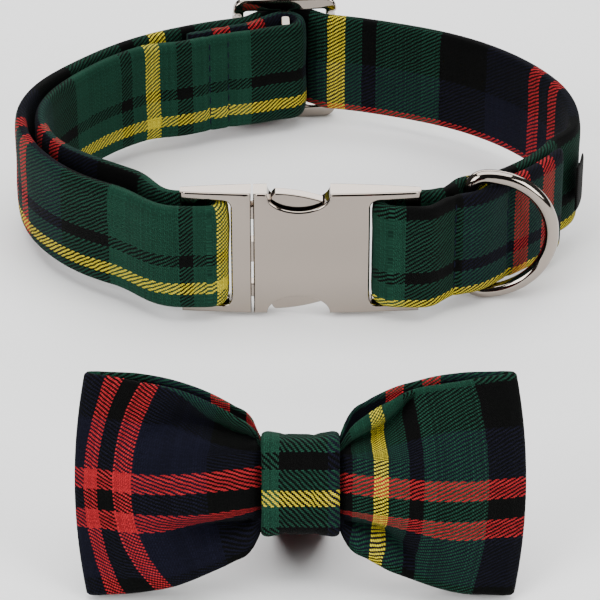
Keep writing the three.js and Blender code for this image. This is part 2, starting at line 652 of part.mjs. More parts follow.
// A cloth band closed in its first parameter: the middle surface thickened to both sides.
function bandShell(surface, turns, rows, thickness) {
  const middle = [];
  for (let i = 0; i < turns; i++) {
    middle.push(Array.from({ length: rows + 1 }, (_, j) => surface(i / turns, (2 * j) / rows - 1)));
  }
  const at = (i, j) => middle[(i + turns) % turns][Math.min(rows, Math.max(0, j))];
  const positions = [];
  for (let i = 0; i < turns; i++) {
    for (const side of [1, -1]) {
      for (let j = 0; j <= rows; j++) {
        const along = at(i + 1, j).clone().sub(at(i - 1, j));
        const up = at(i, j + 1).clone().sub(at(i, j - 1));
        const normal = along.cross(up).normalize();
        const inset = j === 0 || j === rows ? 0.3 : 1;
        positions.push(...at(i, j).clone().addScaledVector(normal, (side * inset * thickness) / 2).toArray());
      }
    }
  }
  const stride = 2 * (rows + 1);
  const index = [];
  const corner = (i, k) => ((i + turns) % turns) * stride + k;
  const loop = [
    ...Array.from({ length: rows + 1 }, (_, j) => j),
    ...Array.from({ length: rows + 1 }, (_, j) => stride - 1 - j),
  ];
  for (let i = 0; i < turns; i++) {
    loop.forEach((from, k) => {
      const to = loop[(k + 1) % loop.length];
      index.push(corner(i, from), corner(i + 1, from), corner(i + 1, to));
      index.push(corner(i, from), corner(i + 1, to), corner(i, to));
    });
  }
  const geometry = new THREE.BufferGeometry();
  geometry.setAttribute("position", new THREE.BufferAttribute(new Float32Array(positions), 3));
  geometry.setIndex(index);
  geometry.computeVertexNormals();
  return geometry;
}

function bowWings() {
  return bandShell(bowSurface, 84, 14, BOW_CLOTH);
}

// The knot is a band round the waist, higher at its side edges than in the middle.
function knotSurface(turn, width) {
  const angle = -2 * Math.PI * turn;
  const power = 0.55;
  const depth = KNOT_DEPTH / 2 - KNOT_CLOTH / 2;
  const height = KNOT_HEIGHT / 2 - KNOT_CLOTH / 2 + KNOT_FLARE * width * width;
  const cosine = Math.cos(angle);
  const sine = Math.sin(angle);
  return new THREE.Vector3(
    (width * KNOT_WIDTH) / 2,
    depth * Math.sign(cosine) * Math.abs(cosine) ** power,
    height * Math.sign(sine) * Math.abs(sine) ** power,
  );
}

function bowKnot() {
  return bandShell(knotSurface, 32, 6, KNOT_CLOTH);
}

// The slack elastic loop behind the knot, which sags back until it reaches the table.
const lean = THREE.MathUtils.degToRad(BOW_LEAN);
const ELASTIC_FRONT = KNOT_DEPTH / 2 + CLEARANCE;

function elasticOutline(inset) {
  const half = ELASTIC_HEIGHT / 2 - inset;
  const back = ELASTIC_FRONT + ELASTIC_DEPTH - inset;
  return roundedBox(ELASTIC_FRONT + inset, back, -half, half, ELASTIC_CORNER - inset, 6);
}

// How low a point of the bow comes once it leans back.
const leaned = (y, z) => z * Math.cos(lean) - y * Math.sin(lean);

function lowest(geometry) {
  const position = geometry.getAttribute("position");
  let low = Infinity;
  for (let i = 0; i < position.count; i++) low = Math.min(low, leaned(position.getY(i), position.getZ(i)));
  return low;
}

function elasticLoop(foot) {
  // The slope at which the outline's lowest point just comes down to the table.
  const slope = Math.min(
    ...elasticOutline(0)
      .filter((point) => point.x > ELASTIC_FRONT + ELASTIC_DEPTH / 2)
      .map((point) => (leaned(point.x, point.y) - foot) / ((point.x - ELASTIC_FRONT) * Math.cos(lean))),
  );
  const sagging = (inset) =>
    elasticOutline(inset).map(({ x, y }) => new THREE.Vector2(x, y - slope * (x - ELASTIC_FRONT)));
  const shape = new THREE.Shape(sagging(0));
  shape.holes.push(new THREE.Path(sagging(ELASTIC_THICKNESS)));
  const geometry = new THREE.ExtrudeGeometry(shape, { depth: ELASTIC_WIDTH, bevelEnabled: false });
  // The outline lies in x and y: turn it so that x becomes depth and y becomes height.
  geometry.translate(0, 0, -ELASTIC_WIDTH / 2);
  const basis = new THREE.Matrix4().makeBasis(
    new THREE.Vector3(0, 1, 0),
    new THREE.Vector3(0, 0, 1),
    new THREE.Vector3(1, 0, 0),
  );
  return geometry.applyMatrix4(basis);
}

const collar = new THREE.Group();
collar.add(
  piece("strap", strap(), FINISH.tartan),
  piece("buckle_housing", buckleHousing(), FINISH.nickel),
  piece("buckle_clip", buckleClip(), FINISH.nickel),
  piece("slider", slider(), FINISH.nickel),
  piece("d_ring", ring(), FINISH.nickel),
  piece("label_tab", label(), FINISH.label),
);

const bow = new THREE.Group();
const wings = bowWings();
const foot = lowest(wings);
bow.add(
  piece("bow_wings", wings, FINISH.tartan),
  piece("bow_knot", bowKnot(), FINISH.tartan),
  piece("bow_elastic", elasticLoop(foot), FINISH.elastic),
);
bow.rotation.x = -lean;
bow.position.set(0, -LOOP_FRONT_REACH - BOW_GAP_TO_COLLAR + (BOW_HEIGHT / 2) * Math.sin(lean), -foot);

// The origin is the middle of the whole set's footprint, on the table.
const set = new THREE.Group();
set.add(collar, bow);
const bounds = new THREE.Box3().setFromObject(set, true);
const middle = bounds.getCenter(new THREE.Vector3());
set.position.set(-middle.x, -middle.y, -bounds.min.z);

const part = new THREE.Group();
part.add(set);
export default part;
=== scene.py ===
"""Pet collar and bow tie in tartan cloth with polished nickel hardware.

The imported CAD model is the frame. The cloth pieces and the hardware are modelled again here at the
same size and place, with their folds, stitches, bevels and finishes. Shapes are worked out in
millimetres about the middle of the collar's loop and turned into metres of the frame when a mesh is
made.
"""

from __future__ import annotations

import logging
import math
from dataclasses import dataclass, field
from enum import Enum
from typing import Callable

import bmesh
import bpy
import numpy as np
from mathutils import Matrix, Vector

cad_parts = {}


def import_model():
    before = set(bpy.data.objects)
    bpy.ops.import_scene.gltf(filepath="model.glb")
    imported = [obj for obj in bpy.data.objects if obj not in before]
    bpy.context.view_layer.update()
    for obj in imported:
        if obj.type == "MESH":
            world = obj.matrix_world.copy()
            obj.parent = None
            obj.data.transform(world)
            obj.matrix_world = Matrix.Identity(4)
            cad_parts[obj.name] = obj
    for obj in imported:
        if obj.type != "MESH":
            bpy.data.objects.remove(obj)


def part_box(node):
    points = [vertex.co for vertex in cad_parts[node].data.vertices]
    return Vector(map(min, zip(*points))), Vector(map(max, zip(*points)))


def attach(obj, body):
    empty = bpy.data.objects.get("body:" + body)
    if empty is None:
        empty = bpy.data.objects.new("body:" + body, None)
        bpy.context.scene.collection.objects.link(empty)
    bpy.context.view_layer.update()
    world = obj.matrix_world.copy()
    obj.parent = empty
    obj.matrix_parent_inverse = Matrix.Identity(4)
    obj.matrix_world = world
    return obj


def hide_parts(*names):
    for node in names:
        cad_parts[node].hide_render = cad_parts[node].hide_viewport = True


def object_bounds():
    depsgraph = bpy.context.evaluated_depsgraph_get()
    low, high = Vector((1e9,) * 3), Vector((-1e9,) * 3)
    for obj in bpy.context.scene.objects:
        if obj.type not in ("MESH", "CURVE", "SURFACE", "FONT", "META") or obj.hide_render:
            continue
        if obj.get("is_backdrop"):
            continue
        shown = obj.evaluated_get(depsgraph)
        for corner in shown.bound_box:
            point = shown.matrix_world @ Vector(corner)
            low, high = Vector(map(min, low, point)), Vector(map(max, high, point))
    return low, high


LOG = logging.getLogger("bow_tie_collar")
MM = 0.001
SEED = 11
SETT_MAP = "sett"

PointMap = Callable[[np.ndarray], np.ndarray]


class Body(Enum):
    """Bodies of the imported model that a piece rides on."""

    COLLAR = "collar"
    RING = "ring"


class Slot(Enum):
    """Names of material slots."""

    TARTAN = "tartan"
    NICKEL = "nickel"
    LABEL = "label"
    ELASTIC = "elastic"


class Dye(Enum):
    """Yarn colours of the cloth, linear RGB."""

    GREEN = (0.0072, 0.036, 0.0215)
    NAVY = (0.0042, 0.0044, 0.0108)
    BLACK = (0.0012, 0.0013, 0.0012)
    RED = (0.30, 0.0135, 0.018)
    YELLOW = (0.52, 0.43, 0.024)


@dataclass(frozen=True)
class Stripe:
    """One stripe of a tartan's sett.

    Args:
        dye: colour of its threads.
        width: width in millimetres.
    """

    dye: Dye
    width: float


def mirrored_sett(
    middle: Dye, middle_width: float, half: list[tuple[Dye, float]], end_width: float
) -> list[Stripe]:
    """Stripes of a sett that mirrors about the middle of its first and its last stripe.

    Args:
        middle: dye of the first pivot.
        middle_width: whole width of the first pivot.
        half: stripes from the first pivot outwards; the last one's dye is the second pivot's.
        end_width: whole width of the second pivot, which replaces the last row's width.

    Returns:
        One whole repeat, which starts at the middle of the first pivot.
    """
    way_out = [Stripe(dye, width) for dye, width in half[:-1]]
    pivot = Stripe(half[-1][0], end_width)
    ends = Stripe(middle, middle_width / 2)
    return [ends, *way_out, pivot, *reversed(way_out), ends]


COLLAR_CROSSWISE = mirrored_sett(
    Dye.YELLOW, 4.6,
    [(Dye.GREEN, 4.4), (Dye.BLACK, 4.1), (Dye.GREEN, 17.0), (Dye.BLACK, 13.7), (Dye.NAVY, 14.6),
     (Dye.RED, 4.5), (Dye.NAVY, 0)],
    4.6,
)
COLLAR_LENGTHWISE = mirrored_sett(
    Dye.YELLOW, 3.3,
    [(Dye.GREEN, 4.1), (Dye.BLACK, 2.9), (Dye.GREEN, 13.4), (Dye.BLACK, 14.3), (Dye.NAVY, 11.6),
     (Dye.RED, 3.4), (Dye.NAVY, 0)],
    3.5,
)
BOW_COLUMNS = mirrored_sett(
    Dye.YELLOW, 2.7,
    [(Dye.GREEN, 3.95), (Dye.BLACK, 3.2), (Dye.GREEN, 12.6), (Dye.BLACK, 9.6), (Dye.NAVY, 11.7),
     (Dye.RED, 3.4), (Dye.BLACK, 0)],
    3.7,
)
BOW_ROWS = mirrored_sett(
    Dye.YELLOW, 3.3,
    [(Dye.GREEN, 4.0), (Dye.BLACK, 3.3), (Dye.GREEN, 12.0), (Dye.BLACK, 9.2), (Dye.NAVY, 10.0),
     (Dye.RED, 4.1), (Dye.BLACK, 0)],
    3.9,
)


@dataclass(frozen=True)
class Span:
    """Range that a value from 0 to 1 is spread over.

    Args:
        low: result at 0.
        width: how much more it is at 1.
    """

    low: float
    width: float


THREAD_SHADE = Span(0.78, 0.5)
THREAD_WAVER = Span(-0.25, 0.5)
# painted shade between threads: colour level from a thread's low sides up to its crown
THREAD_SHADOW = Span(0.42, 0.75)
THREAD_ARCH = Span(0.5, 0.5)
CLOTH_WEAR = Span(0.82, 0.35)
FIBRE_SHADE = Span(0.4, 1.3)
FIBRE_RELIEF = 0.25
# painted shade in the grooves between a web's ribs
RIB_SHADE = Span(0.8, 0.22)
NICKEL_RUBS = 0.06


class Graph:
    """Small helper that builds a material's node tree."""

    def __init__(self, name: str) -> None:
        """Make an empty material with an output node."""
        self.material = bpy.data.materials.new(name)
        self.material.use_nodes = True
        self.tree = self.material.node_tree
        self.tree.nodes.clear()
        self.output = self.tree.nodes.new("ShaderNodeOutputMaterial")

    def node(self, kind: str, **sockets: object) -> bpy.types.Node:
        """Add a node and set its inputs.

        Args:
            kind: the node's type name.
            sockets: input name, with underscores for spaces, to a value or to a socket to link.

        Returns:
            The new node.
        """
        made = self.tree.nodes.new(kind)
        for name, value in sockets.items():
            self.feed(made.inputs[name.replace("_", " ")], value)
        return made

    def feed(self, socket: bpy.types.NodeSocket, value: object) -> None:
        """Link a socket to another one, or set its value."""
        if isinstance(value, bpy.types.NodeSocket):
            self.tree.links.new(value, socket)
        else:
            socket.default_value = value

    def math(self, operation: str, *inputs: object) -> bpy.types.NodeSocket:
        """Result of a Math node on values or sockets."""
        made = self.tree.nodes.new("ShaderNodeMath")
        made.operation = operation
        for socket, value in zip(made.inputs, inputs):
            self.feed(socket, value)
        return made.outputs[0]

    def blend(self, factor: object, a: object, b: object, mode: str = "MIX") -> bpy.types.NodeSocket:
        """Mix of two colours: a where factor is 0 and b where it is 1."""
        made = self.tree.nodes.new("ShaderNodeMix")
        made.data_type = "RGBA"
        made.blend_type = mode
        self.feed(made.inputs[0], factor)
        self.feed(made.inputs[6], a)
        self.feed(made.inputs[7], b)
        return made.outputs[2]

    def ramp(self, factor: object, stops: list[tuple[float, tuple]], mode: str) -> bpy.types.NodeSocket:
        """Colour ramp through the stops, each a place from 0 to 1 and a colour."""
        made = self.tree.nodes.new("ShaderNodeValToRGB")
        made.color_ramp.interpolation = mode
        elements = made.color_ramp.elements
        elements[0].position, elements[0].color = stops[0][0], (*stops[0][1], 1)
        elements[1].position, elements[1].color = stops[-1][0], (*stops[-1][1], 1)
        for place, colour in stops[1:-1]:
            elements.new(place).color = (*colour, 1)
        self.feed(made.inputs[0], factor)
        return made.outputs[0]

    def noise(self, vector: object, scale: float, detail: float = 2.0) -> bpy.types.NodeSocket:
        """Value of a noise texture at a vector."""
        return self.node("ShaderNodeTexNoise", Vector=vector, Scale=scale, Detail=detail).outputs[0]

    def spread(self, value: object, over: Span) -> bpy.types.NodeSocket:
        """Value spread over a range."""
        return self.math("MULTIPLY_ADD", value, over.width, over.low)

    def tinted(self, colour: object, level: object) -> bpy.types.NodeSocket:
        """Colour multiplied by a level."""
        grey = self.node("ShaderNodeCombineColor", Red=level, Green=level, Blue=level).outputs[0]
        return self.blend(1.0, colour, grey, "MULTIPLY")

    def sett_place(self) -> bpy.types.NodeSocket:
        """Place on the piece's own map, in millimetres of the sett."""
        mapped = self.tree.nodes.new("ShaderNodeUVMap")
        mapped.uv_map = SETT_MAP
        return mapped.outputs[0]

    def surface(self, **sockets: object) -> None:
        """Finish the material with a Principled shader."""
        shader = self.node("ShaderNodeBsdfPrincipled", **sockets)
        self.tree.links.new(shader.outputs[0], self.output.inputs[0])

    def bump(self, height: object, distance: float, strength: float = 1.0) -> bpy.types.NodeSocket:
        """Normal of a surface raised by a height of the given distance in metres."""
        return self.node("ShaderNodeBump", Height=height, Distance=distance, Strength=strength).outputs[0]


@dataclass(frozen=True)
class Twill:
    """Tartan cloth in two-and-two twill, drawn thread by thread from the piece's own map.

    The map's first number runs along the lengthwise threads and its second across them, both in
    millimetres of the sett. A lengthwise thread passes over two crosswise ones and under two, one
    step further on for each thread, which makes the slanting lines.

    Args:
        name: the material's name.
        crosswise: sett read along the map's first number.
        lengthwise: sett read along its second.
        crosswise_pitch: width of a crosswise thread, in millimetres.
        lengthwise_pitch: width of a lengthwise thread.
        relief: height of the threads, in millimetres.
    """

    name: str
    crosswise: list[Stripe]
    lengthwise: list[Stripe]
    crosswise_pitch: float = 0.37
    lengthwise_pitch: float = 0.245
    relief: float = 0.07

    @staticmethod
    def _yarn(graph: Graph, index: object, pitch: float, sett: list[Stripe]) -> bpy.types.NodeSocket:
        """Colour of the thread with that index, read from the sett at its middle."""
        repeat = sum(stripe.width for stripe in sett)
        middle = graph.math("MULTIPLY", graph.math("ADD", index, 0.5), pitch / repeat)
        place = graph.math("FLOORED_MODULO", middle, 1.0)
        starts = np.cumsum([0.0] + [stripe.width for stripe in sett[:-1]]) / repeat
        stops = [(start, stripe.dye.value) for start, stripe in zip(starts, sett)]
        colour = graph.ramp(place, stops, "CONSTANT")
        own_place = graph.node("ShaderNodeCombineXYZ", X=index).outputs[0]
        shade = graph.node("ShaderNodeTexWhiteNoise", Vector=own_place).outputs[0]
        return graph.tinted(colour, graph.spread(shade, THREAD_SHADE))

    def material(self) -> bpy.types.Material:
        """Build the cloth's material.

        Returns:
            The new material, which reads the map named sett.
        """
        graph = Graph(self.name)
        place = graph.sett_place()
        split = graph.node("ShaderNodeSeparateXYZ", Vector=place)
        waver = graph.spread(graph.noise(place, 0.35), THREAD_WAVER)
        along = graph.math("DIVIDE", graph.math("ADD", split.outputs[0], waver), self.crosswise_pitch)
        across = graph.math("DIVIDE", graph.math("ADD", split.outputs[1], waver), self.lengthwise_pitch)
        column, row = graph.math("FLOOR", along), graph.math("FLOOR", across)
        in_column, in_row = graph.math("FRACT", along), graph.math("FRACT", across)
        step = graph.math("FLOORED_MODULO", graph.math("ADD", column, row), 4.0)
        warp_on_top = graph.math("LESS_THAN", step, 1.5)

        def crown(inside: object) -> bpy.types.NodeSocket:
            """Height across a thread: one less the square of the distance from its middle."""
            off = graph.math("MULTIPLY_ADD", inside, 2.0, -1.0)
            return graph.math("MULTIPLY_ADD", graph.math("MULTIPLY", off, off), -1.0, 1.0)

        def arch(travel: object) -> bpy.types.NodeSocket:
            """Height along a float of two threads: half a sine wave."""
            return graph.math("SINE", graph.math("MULTIPLY", travel, math.pi / 2))

        warp_arch = arch(graph.math("ADD", step, in_column))
        weft_arch = arch(graph.math("ADD", graph.math("SUBTRACT", step, 2.0), in_row))
        warp_height = graph.math("MULTIPLY", crown(in_row), graph.spread(warp_arch, THREAD_ARCH))
        weft_height = graph.math("MULTIPLY", crown(in_column), graph.spread(weft_arch, THREAD_ARCH))
        swing = graph.math("SUBTRACT", warp_height, weft_height)
        height = graph.math("MULTIPLY_ADD", swing, warp_on_top, weft_height)

        warp = self._yarn(graph, row, self.lengthwise_pitch, self.lengthwise)
        weft = self._yarn(graph, column, self.crosswise_pitch, self.crosswise)
        colour = graph.blend(warp_on_top, weft, warp)
        # Painted shade: the colour darkens where the threads dip and in the gaps between them; wear and fibre
        # below are random tone of the cloth.
        depth = graph.spread(height, THREAD_SHADOW)
        wear = graph.spread(graph.noise(place, 0.12, 4.0), CLOTH_WEAR)
        fibre = graph.spread(graph.noise(place, 7.0, 3.0), FIBRE_SHADE)
        level = graph.math("MULTIPLY", graph.math("MULTIPLY", depth, wear), fibre)
        raised = graph.math("MULTIPLY_ADD", graph.noise(place, 12.0, 2.0), FIBRE_RELIEF, height)
        graph.surface(
            Base_Color=graph.tinted(colour, level),
            Roughness=0.85,
            Specular_IOR_Level=0.06,
            Sheen_Weight=0.015,
            Sheen_Roughness=0.45,
            Sheen_Tint=(0.8, 0.9, 0.85, 1.0),
            Normal=graph.bump(raised, self.relief * MM, 0.9),
        )
        return graph.material


@dataclass(frozen=True)
class PolishedNickel:
    """Warm polished nickel plate with a faint orange-peel and a few fine rub marks.

    Args:
        name: the material's name.
        colour: reflectance, linear RGB.
        roughness: of the polish.
    """

    name: str = "polished_nickel"
    colour: tuple[float, float, float] = (0.315, 0.272, 0.235)
    roughness: float = 0.08

    def material(self) -> bpy.types.Material:
        """Build the metal's material."""
        graph = Graph(self.name)
        place = graph.tree.nodes.new("ShaderNodeTexCoord").outputs["Object"]
        peel = graph.noise(place, 260.0, 2.0)
        stretched = graph.node("ShaderNodeMapping", Vector=place, Scale=(150.0, 2600.0, 1900.0)).outputs[0]
        rubs = graph.noise(stretched, 1.0, 3.0)
        rough = graph.spread(rubs, Span(self.roughness - NICKEL_RUBS / 2, NICKEL_RUBS))
        graph.surface(
            Base_Color=(*self.colour, 1.0),
            Metallic=1.0,
            Roughness=rough,
            Normal=graph.bump(peel, 0.000012, 0.6),
        )
        return graph.material


@dataclass(frozen=True)
class RibbedWeb:
    """Plain narrow weaving, such as a label's tape or elastic: ribs along one direction.

    Args:
        name: the material's name.
        colour: yarn colour, linear RGB.
        rib: width of a rib in millimetres.
    """

    name: str
    colour: tuple[float, float, float]
    rib: float

    def material(self) -> bpy.types.Material:
        """Build the web's material: ribs across the map's second number, knots along its first."""
        graph = Graph(self.name)
        split = graph.node("ShaderNodeSeparateXYZ", Vector=graph.sett_place())
        wave = graph.math("SINE", graph.math("MULTIPLY", split.outputs[1], 2 * math.pi / self.rib))
        knots = graph.math("SINE", graph.math("MULTIPLY", split.outputs[0], 2 * math.pi / (0.6 * self.rib)))
        height = graph.math("MULTIPLY_ADD", graph.math("MULTIPLY", wave, knots), 0.3, wave)
        graph.surface(
            # painted shade: the colour darkens in the grooves between the ribs
            Base_Color=graph.tinted((*self.colour, 1.0), graph.spread(height, RIB_SHADE)),
            Roughness=0.7,
            Specular_IOR_Level=0.05,
            Sheen_Weight=0.02,
            Normal=graph.bump(height, 0.00005, 0.8),
        )
        return graph.material


@dataclass(frozen=True)
class SewingThread:
    """Twisted polyester thread without gloss.

    Args:
        name: the material's name.
        colour: linear RGB.
    """

    name: str = "sewing_thread"
    colour: tuple[float, float, float] = (0.008, 0.009, 0.02)

    def material(self) -> bpy.types.Material:
        """Build the thread's material."""
        graph = Graph(self.name)
        place = graph.tree.nodes.new("ShaderNodeTexCoord").outputs["Object"]
        twist = graph.noise(place, 6000.0, 1.0)
        graph.surface(
            Base_Color=(*self.colour, 1.0),
            Roughness=0.85,
            Specular_IOR_Level=0.05,
            Normal=graph.bump(twist, 0.00003, 0.7),
        )
        return graph.material


def ripple(a: np.ndarray, b: np.ndarray, wavelength: float, seed: int, terms: int = 6) -> np.ndarray:
    """Smooth random waves in two variables, about from -1 to 1.

    A sum of sines whose directions and phases are drawn from a seeded generator.

    Args:
        a: first coordinate, in millimetres.
        b: second coordinate.
        wavelength: mean length of a wave, in millimetres.
        seed: seed of the waves.
        terms: how many waves are added.

    Returns:
        The sum at each point.
    """
    draw = np.random.default_rng(SEED + seed)
    angles = draw.uniform(0, 2 * math.pi, terms)
    phases = draw.uniform(0, 2 * math.pi, terms)
    lengths = wavelength * draw.uniform(0.7, 1.6, terms)
    total = np.zeros(np.broadcast(a, b).shape)
    for angle, phase, length in zip(angles, phases, lengths):
        total += np.sin((a * math.cos(angle) + b * math.sin(angle)) * 2 * math.pi / length + phase)
    return total / math.sqrt(terms)


def located(at: np.ndarray, places: np.ndarray) -> tuple[np.ndarray, np.ndarray, np.ndarray]:
    """Row before each place, the distance to the next row and the share of it that is passed."""
    row = np.clip(np.searchsorted(places, at, side="right") - 1, 0, len(places) - 2)
    width = places[row + 1] - places[row]
    return row, width, np.clip((at - places[row]) / width, 0, 1)


def eased(at: np.ndarray, places: list[float], values: list[float]) -> np.ndarray:
    """Values between rows, eased from each row to the next by half a cosine wave."""
    levels = np.asarray(values, float)
    row, _, share = located(at, np.asarray(places, float))
    return levels[row] + (levels[row + 1] - levels[row]) * (1 - np.cos(math.pi * share)) / 2


def flowing(at: np.ndarray, places: list[float], values: list[float]) -> np.ndarray:
    """Values between rows along a cubic that passes through them.

    Each row's slope is the mean slope of its neighbours, and a Hermite cubic joins the rows.

    Args:
        at: where to read.
        places: the rows' places, rising.
        values: the rows' values.

    Returns:
        The value at each point.
    """
    levels = np.asarray(values, float)
    slopes = np.gradient(levels, np.asarray(places, float))
    row, width, t = located(at, np.asarray(places, float))
    level = (1 + 2 * t) * (1 - t) ** 2 * levels[row] + t * t * (3 - 2 * t) * levels[row + 1]
    lean = t * (1 - t) ** 2 * slopes[row] - t * t * (1 - t) * slopes[row + 1]
    return level + lean * width


def smooth(share: np.ndarray) -> np.ndarray:
    """Rise from 0 to 1 that starts and ends level."""
    share = np.clip(share, 0, 1)
    return share * share * (3 - 2 * share)


def bell(offset: np.ndarray, width: float) -> np.ndarray:
    """Bell curve of an offset, one at its middle."""
    return np.exp(-((offset / width) ** 2))


def signed_power(value: np.ndarray, power: float) -> np.ndarray:
    """Raise the size of a value to a power and keep its sign."""
    return np.sign(value) * np.abs(value) ** power


def flat_section(sides: int, face_power: float, edge_power: float) -> tuple[np.ndarray, np.ndarray]:
    """Flat superellipse from its top round: shares of the half thickness and the half width."""
    angle = np.linspace(0, math.tau, sides + 1)
    return signed_power(np.sin(angle), 2 / face_power), signed_power(np.cos(angle), 2 / edge_power)


def unit(vectors: np.ndarray) -> np.ndarray:
    """Scale vectors to length one."""
    return vectors / np.linalg.norm(vectors, axis=-1, keepdims=True)


def left_of(ahead: np.ndarray) -> np.ndarray:
    """Turn flat directions a quarter to the left."""
    return np.stack([-ahead[..., 1], ahead[..., 0]], -1)


def way_along(line: np.ndarray) -> np.ndarray:
    """Distance along a flat line of points, from 0 at the first."""
    return np.concatenate([[0], np.cumsum(np.hypot(*np.diff(line, axis=0).T))])


def read_off(line: np.ndarray, way: np.ndarray, places: np.ndarray) -> np.ndarray:
    """Points of a flat line at distances along it."""
    return np.stack([np.interp(places, way, line[:, k]) for k in (0, 1)], -1)


def evenly(ring: np.ndarray, count: int) -> tuple[np.ndarray, float]:
    """Points at even distances round a flat ring, and the ring's length."""
    closed = np.vstack([ring, ring[:1]])
    way = way_along(closed)
    return read_off(closed, way, np.linspace(0, way[-1], count, endpoint=False)), way[-1]


def round_about(ring: np.ndarray) -> np.ndarray:
    """Steps from each row's neighbour before to the one after, where the last joins the first."""
    return np.roll(ring, -1, 0) - np.roll(ring, 1, 0)


@dataclass
class Grid:
    """A surface as a grid of points with a sett map for each cell's corners.

    Args:
        points: (rows, columns, 3) places in millimetres of the piece's own frame.
        along: (rows, columns + 1) first number of the map for each grid line, seam doubled.
        across: (rows, columns + 1) second number.
        close_rows: whether the last row joins the first.
        close_columns: whether the last column joins the first.
        cap_rows: whether the first and last rows are closed with a fan.
    """

    points: np.ndarray
    along: np.ndarray
    across: np.ndarray
    close_rows: bool = False
    close_columns: bool = True
    cap_rows: bool = False

    def mesh(self, name: str, to_metres: PointMap) -> bpy.types.Mesh:
        """Make the mesh, with faces from grid neighbours and a map named sett.

        Args:
            name: the mesh's name.
            to_metres: turns (n, 3) millimetres into metres of the frame.

        Returns:
            The new mesh, smooth shaded.
        """
        rows, columns, _ = self.points.shape
        row_cells = rows if self.close_rows else rows - 1
        column_cells = columns if self.close_columns else columns - 1
        i, j = np.meshgrid(np.arange(row_cells), np.arange(column_cells), indexing="ij")
        i, j = i.ravel(), j.ravel()
        next_i, next_j = (i + 1) % rows, (j + 1) % columns
        here, beyond = i * columns, next_i * columns
        corners = np.stack([here + j, beyond + j, beyond + next_j, here + next_j], 1)
        map_i = i + 1 if self.along.shape[0] > rows else next_i
        pairs = [(i, j), (map_i, j), (map_i, j + 1), (i, j + 1)]
        map_along = np.stack([self.along[a, b] for a, b in pairs], 1)
        map_across = np.stack([self.across[a, b] for a, b in pairs], 1)
        places = to_metres(self.points.reshape(-1, 3))
        faces = corners.tolist()
        uv = np.stack([map_along.ravel(), map_across.ravel()], 1)
        if self.cap_rows:
            first = list(range(columns))
            last = list(range((rows - 1) * columns, rows * columns))
            faces += [first, last[::-1]]
            ends = [np.stack([self.along[r, :columns], self.across[r, :columns]], 1) for r in (0, rows - 1)]
            uv = np.vstack([uv, ends[0], ends[1][::-1]])
        mesh = bpy.data.meshes.new(name)
        mesh.from_pydata(places.tolist(), [], faces)
        layer = mesh.uv_layers.new(name=SETT_MAP)
        layer.data.foreach_set("uv", uv.astype(np.float32).ravel())
        mesh.polygons.foreach_set("use_smooth", [True] * len(mesh.polygons))
        mesh.update()
        return mesh


def add_piece(
    name: str,
    mesh: bpy.types.Mesh,
    material: bpy.types.Material,
    body: Body,
    slot: Slot,
    nodes: tuple[str, ...] = (),
) -> bpy.types.Object:
    """Put a mesh into the scene as a piece of the object.

    Args:
        name: the piece's name.
        mesh: its mesh, in metres of the frame.
        material: its finish.
        body: the body that it rides on.
        slot: not used.
        nodes: CAD nodes that it stands for.

    Returns:
        The new object.
    """
    piece = link(name, mesh)
    mesh.materials.clear()
    mesh.materials.append(material)
    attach(piece, body.value)
    if nodes:
        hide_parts(*nodes)
    return piece


RIGHT_BULGE = ([-48.5, -38, -26, -14, 0, 15, 35, 51.5], [0, 0, 0.9, 1.35, 0.5, 1.2, 1.6, 0])
LEFT_BULGE = ([-48.5, -42, -30, -14, 0, 20, 40, 51.5], [0, 0.2, 1.5, 1.9, 1.9, 1.5, 0.9, 0])
BULGE_RUN = 30.0


@dataclass(frozen=True)
class Loop:
    """Plan of the strap's outer face: an ellipse at the front and a slightly pointed half behind.

    Both sides bulge outwards by tables of millimetres against the distance behind the widest
    place, faded out towards the middle.

    Args:
        half_width: from the middle to the outer face at the widest place.
        back_reach: from the widest place to the back.
        front_reach: from the widest place to the front.
        back_power: exponent of the back half.
    """

    half_width: float = 64.3
    back_reach: float = 51.5
    front_reach: float = 48.5
    back_power: float = 1.8

    def line(self) -> tuple[np.ndarray, np.ndarray]:
        """Dense points round the loop from the buckle's middle to the right, and the way along it."""
        turn = np.linspace(0, 2 * math.pi, 7201) - math.pi / 2
        cosine, sine = np.cos(turn), np.sin(turn)
        power = np.where(sine < 0, 1.0, 2 / self.back_power)
        reach = np.where(sine < 0, self.front_reach, self.back_reach)
        x = self.half_width * signed_power(cosine, power)
        y = reach * signed_power(sine, power)
        bulge = np.where(cosine < 0, -flowing(y, *LEFT_BULGE), flowing(y, *RIGHT_BULGE))
        points = np.stack([x + bulge * smooth(np.abs(x) / BULGE_RUN), y], 1)
        return points, way_along(points)

    def place(self, along: np.ndarray, depth: np.ndarray) -> tuple[np.ndarray, np.ndarray]:
        """Points inside the outer face.

        Args:
            along: distance from the buckle's middle along the outer face.
            depth: distance inside it.

        Returns:
            The points and the unit directions along the loop there.
        """
        points, way = self.line()

        def at(s: np.ndarray) -> np.ndarray:
            """Point of the outer face at a distance along it."""
            return read_off(points, way, np.mod(s, way[-1]))

        along, step = np.asarray(along, float), 0.4
        ahead = unit(at(along + step) - at(along - step))
        return at(along) + left_of(ahead) * np.asarray(depth, float)[..., None], ahead

    @property
    def total(self) -> float:
        """Length of the outer face all the way round."""
        return float(self.line()[1][-1])


class Stretch(Enum):
    """Stretches of the strap, in order from the end sewn at the slider to the end over the D-ring."""

    TAIL = 0
    BAR_TURN = 1
    INNER_LEFT = 2
    LEFT_TURN = 3
    OUTER_LEFT = 4
    OVER_SLIDER = 5
    SINGLE = 6
    INNER_RIGHT = 7
    RIGHT_TURN = 8
    FOLDED_BACK = 9


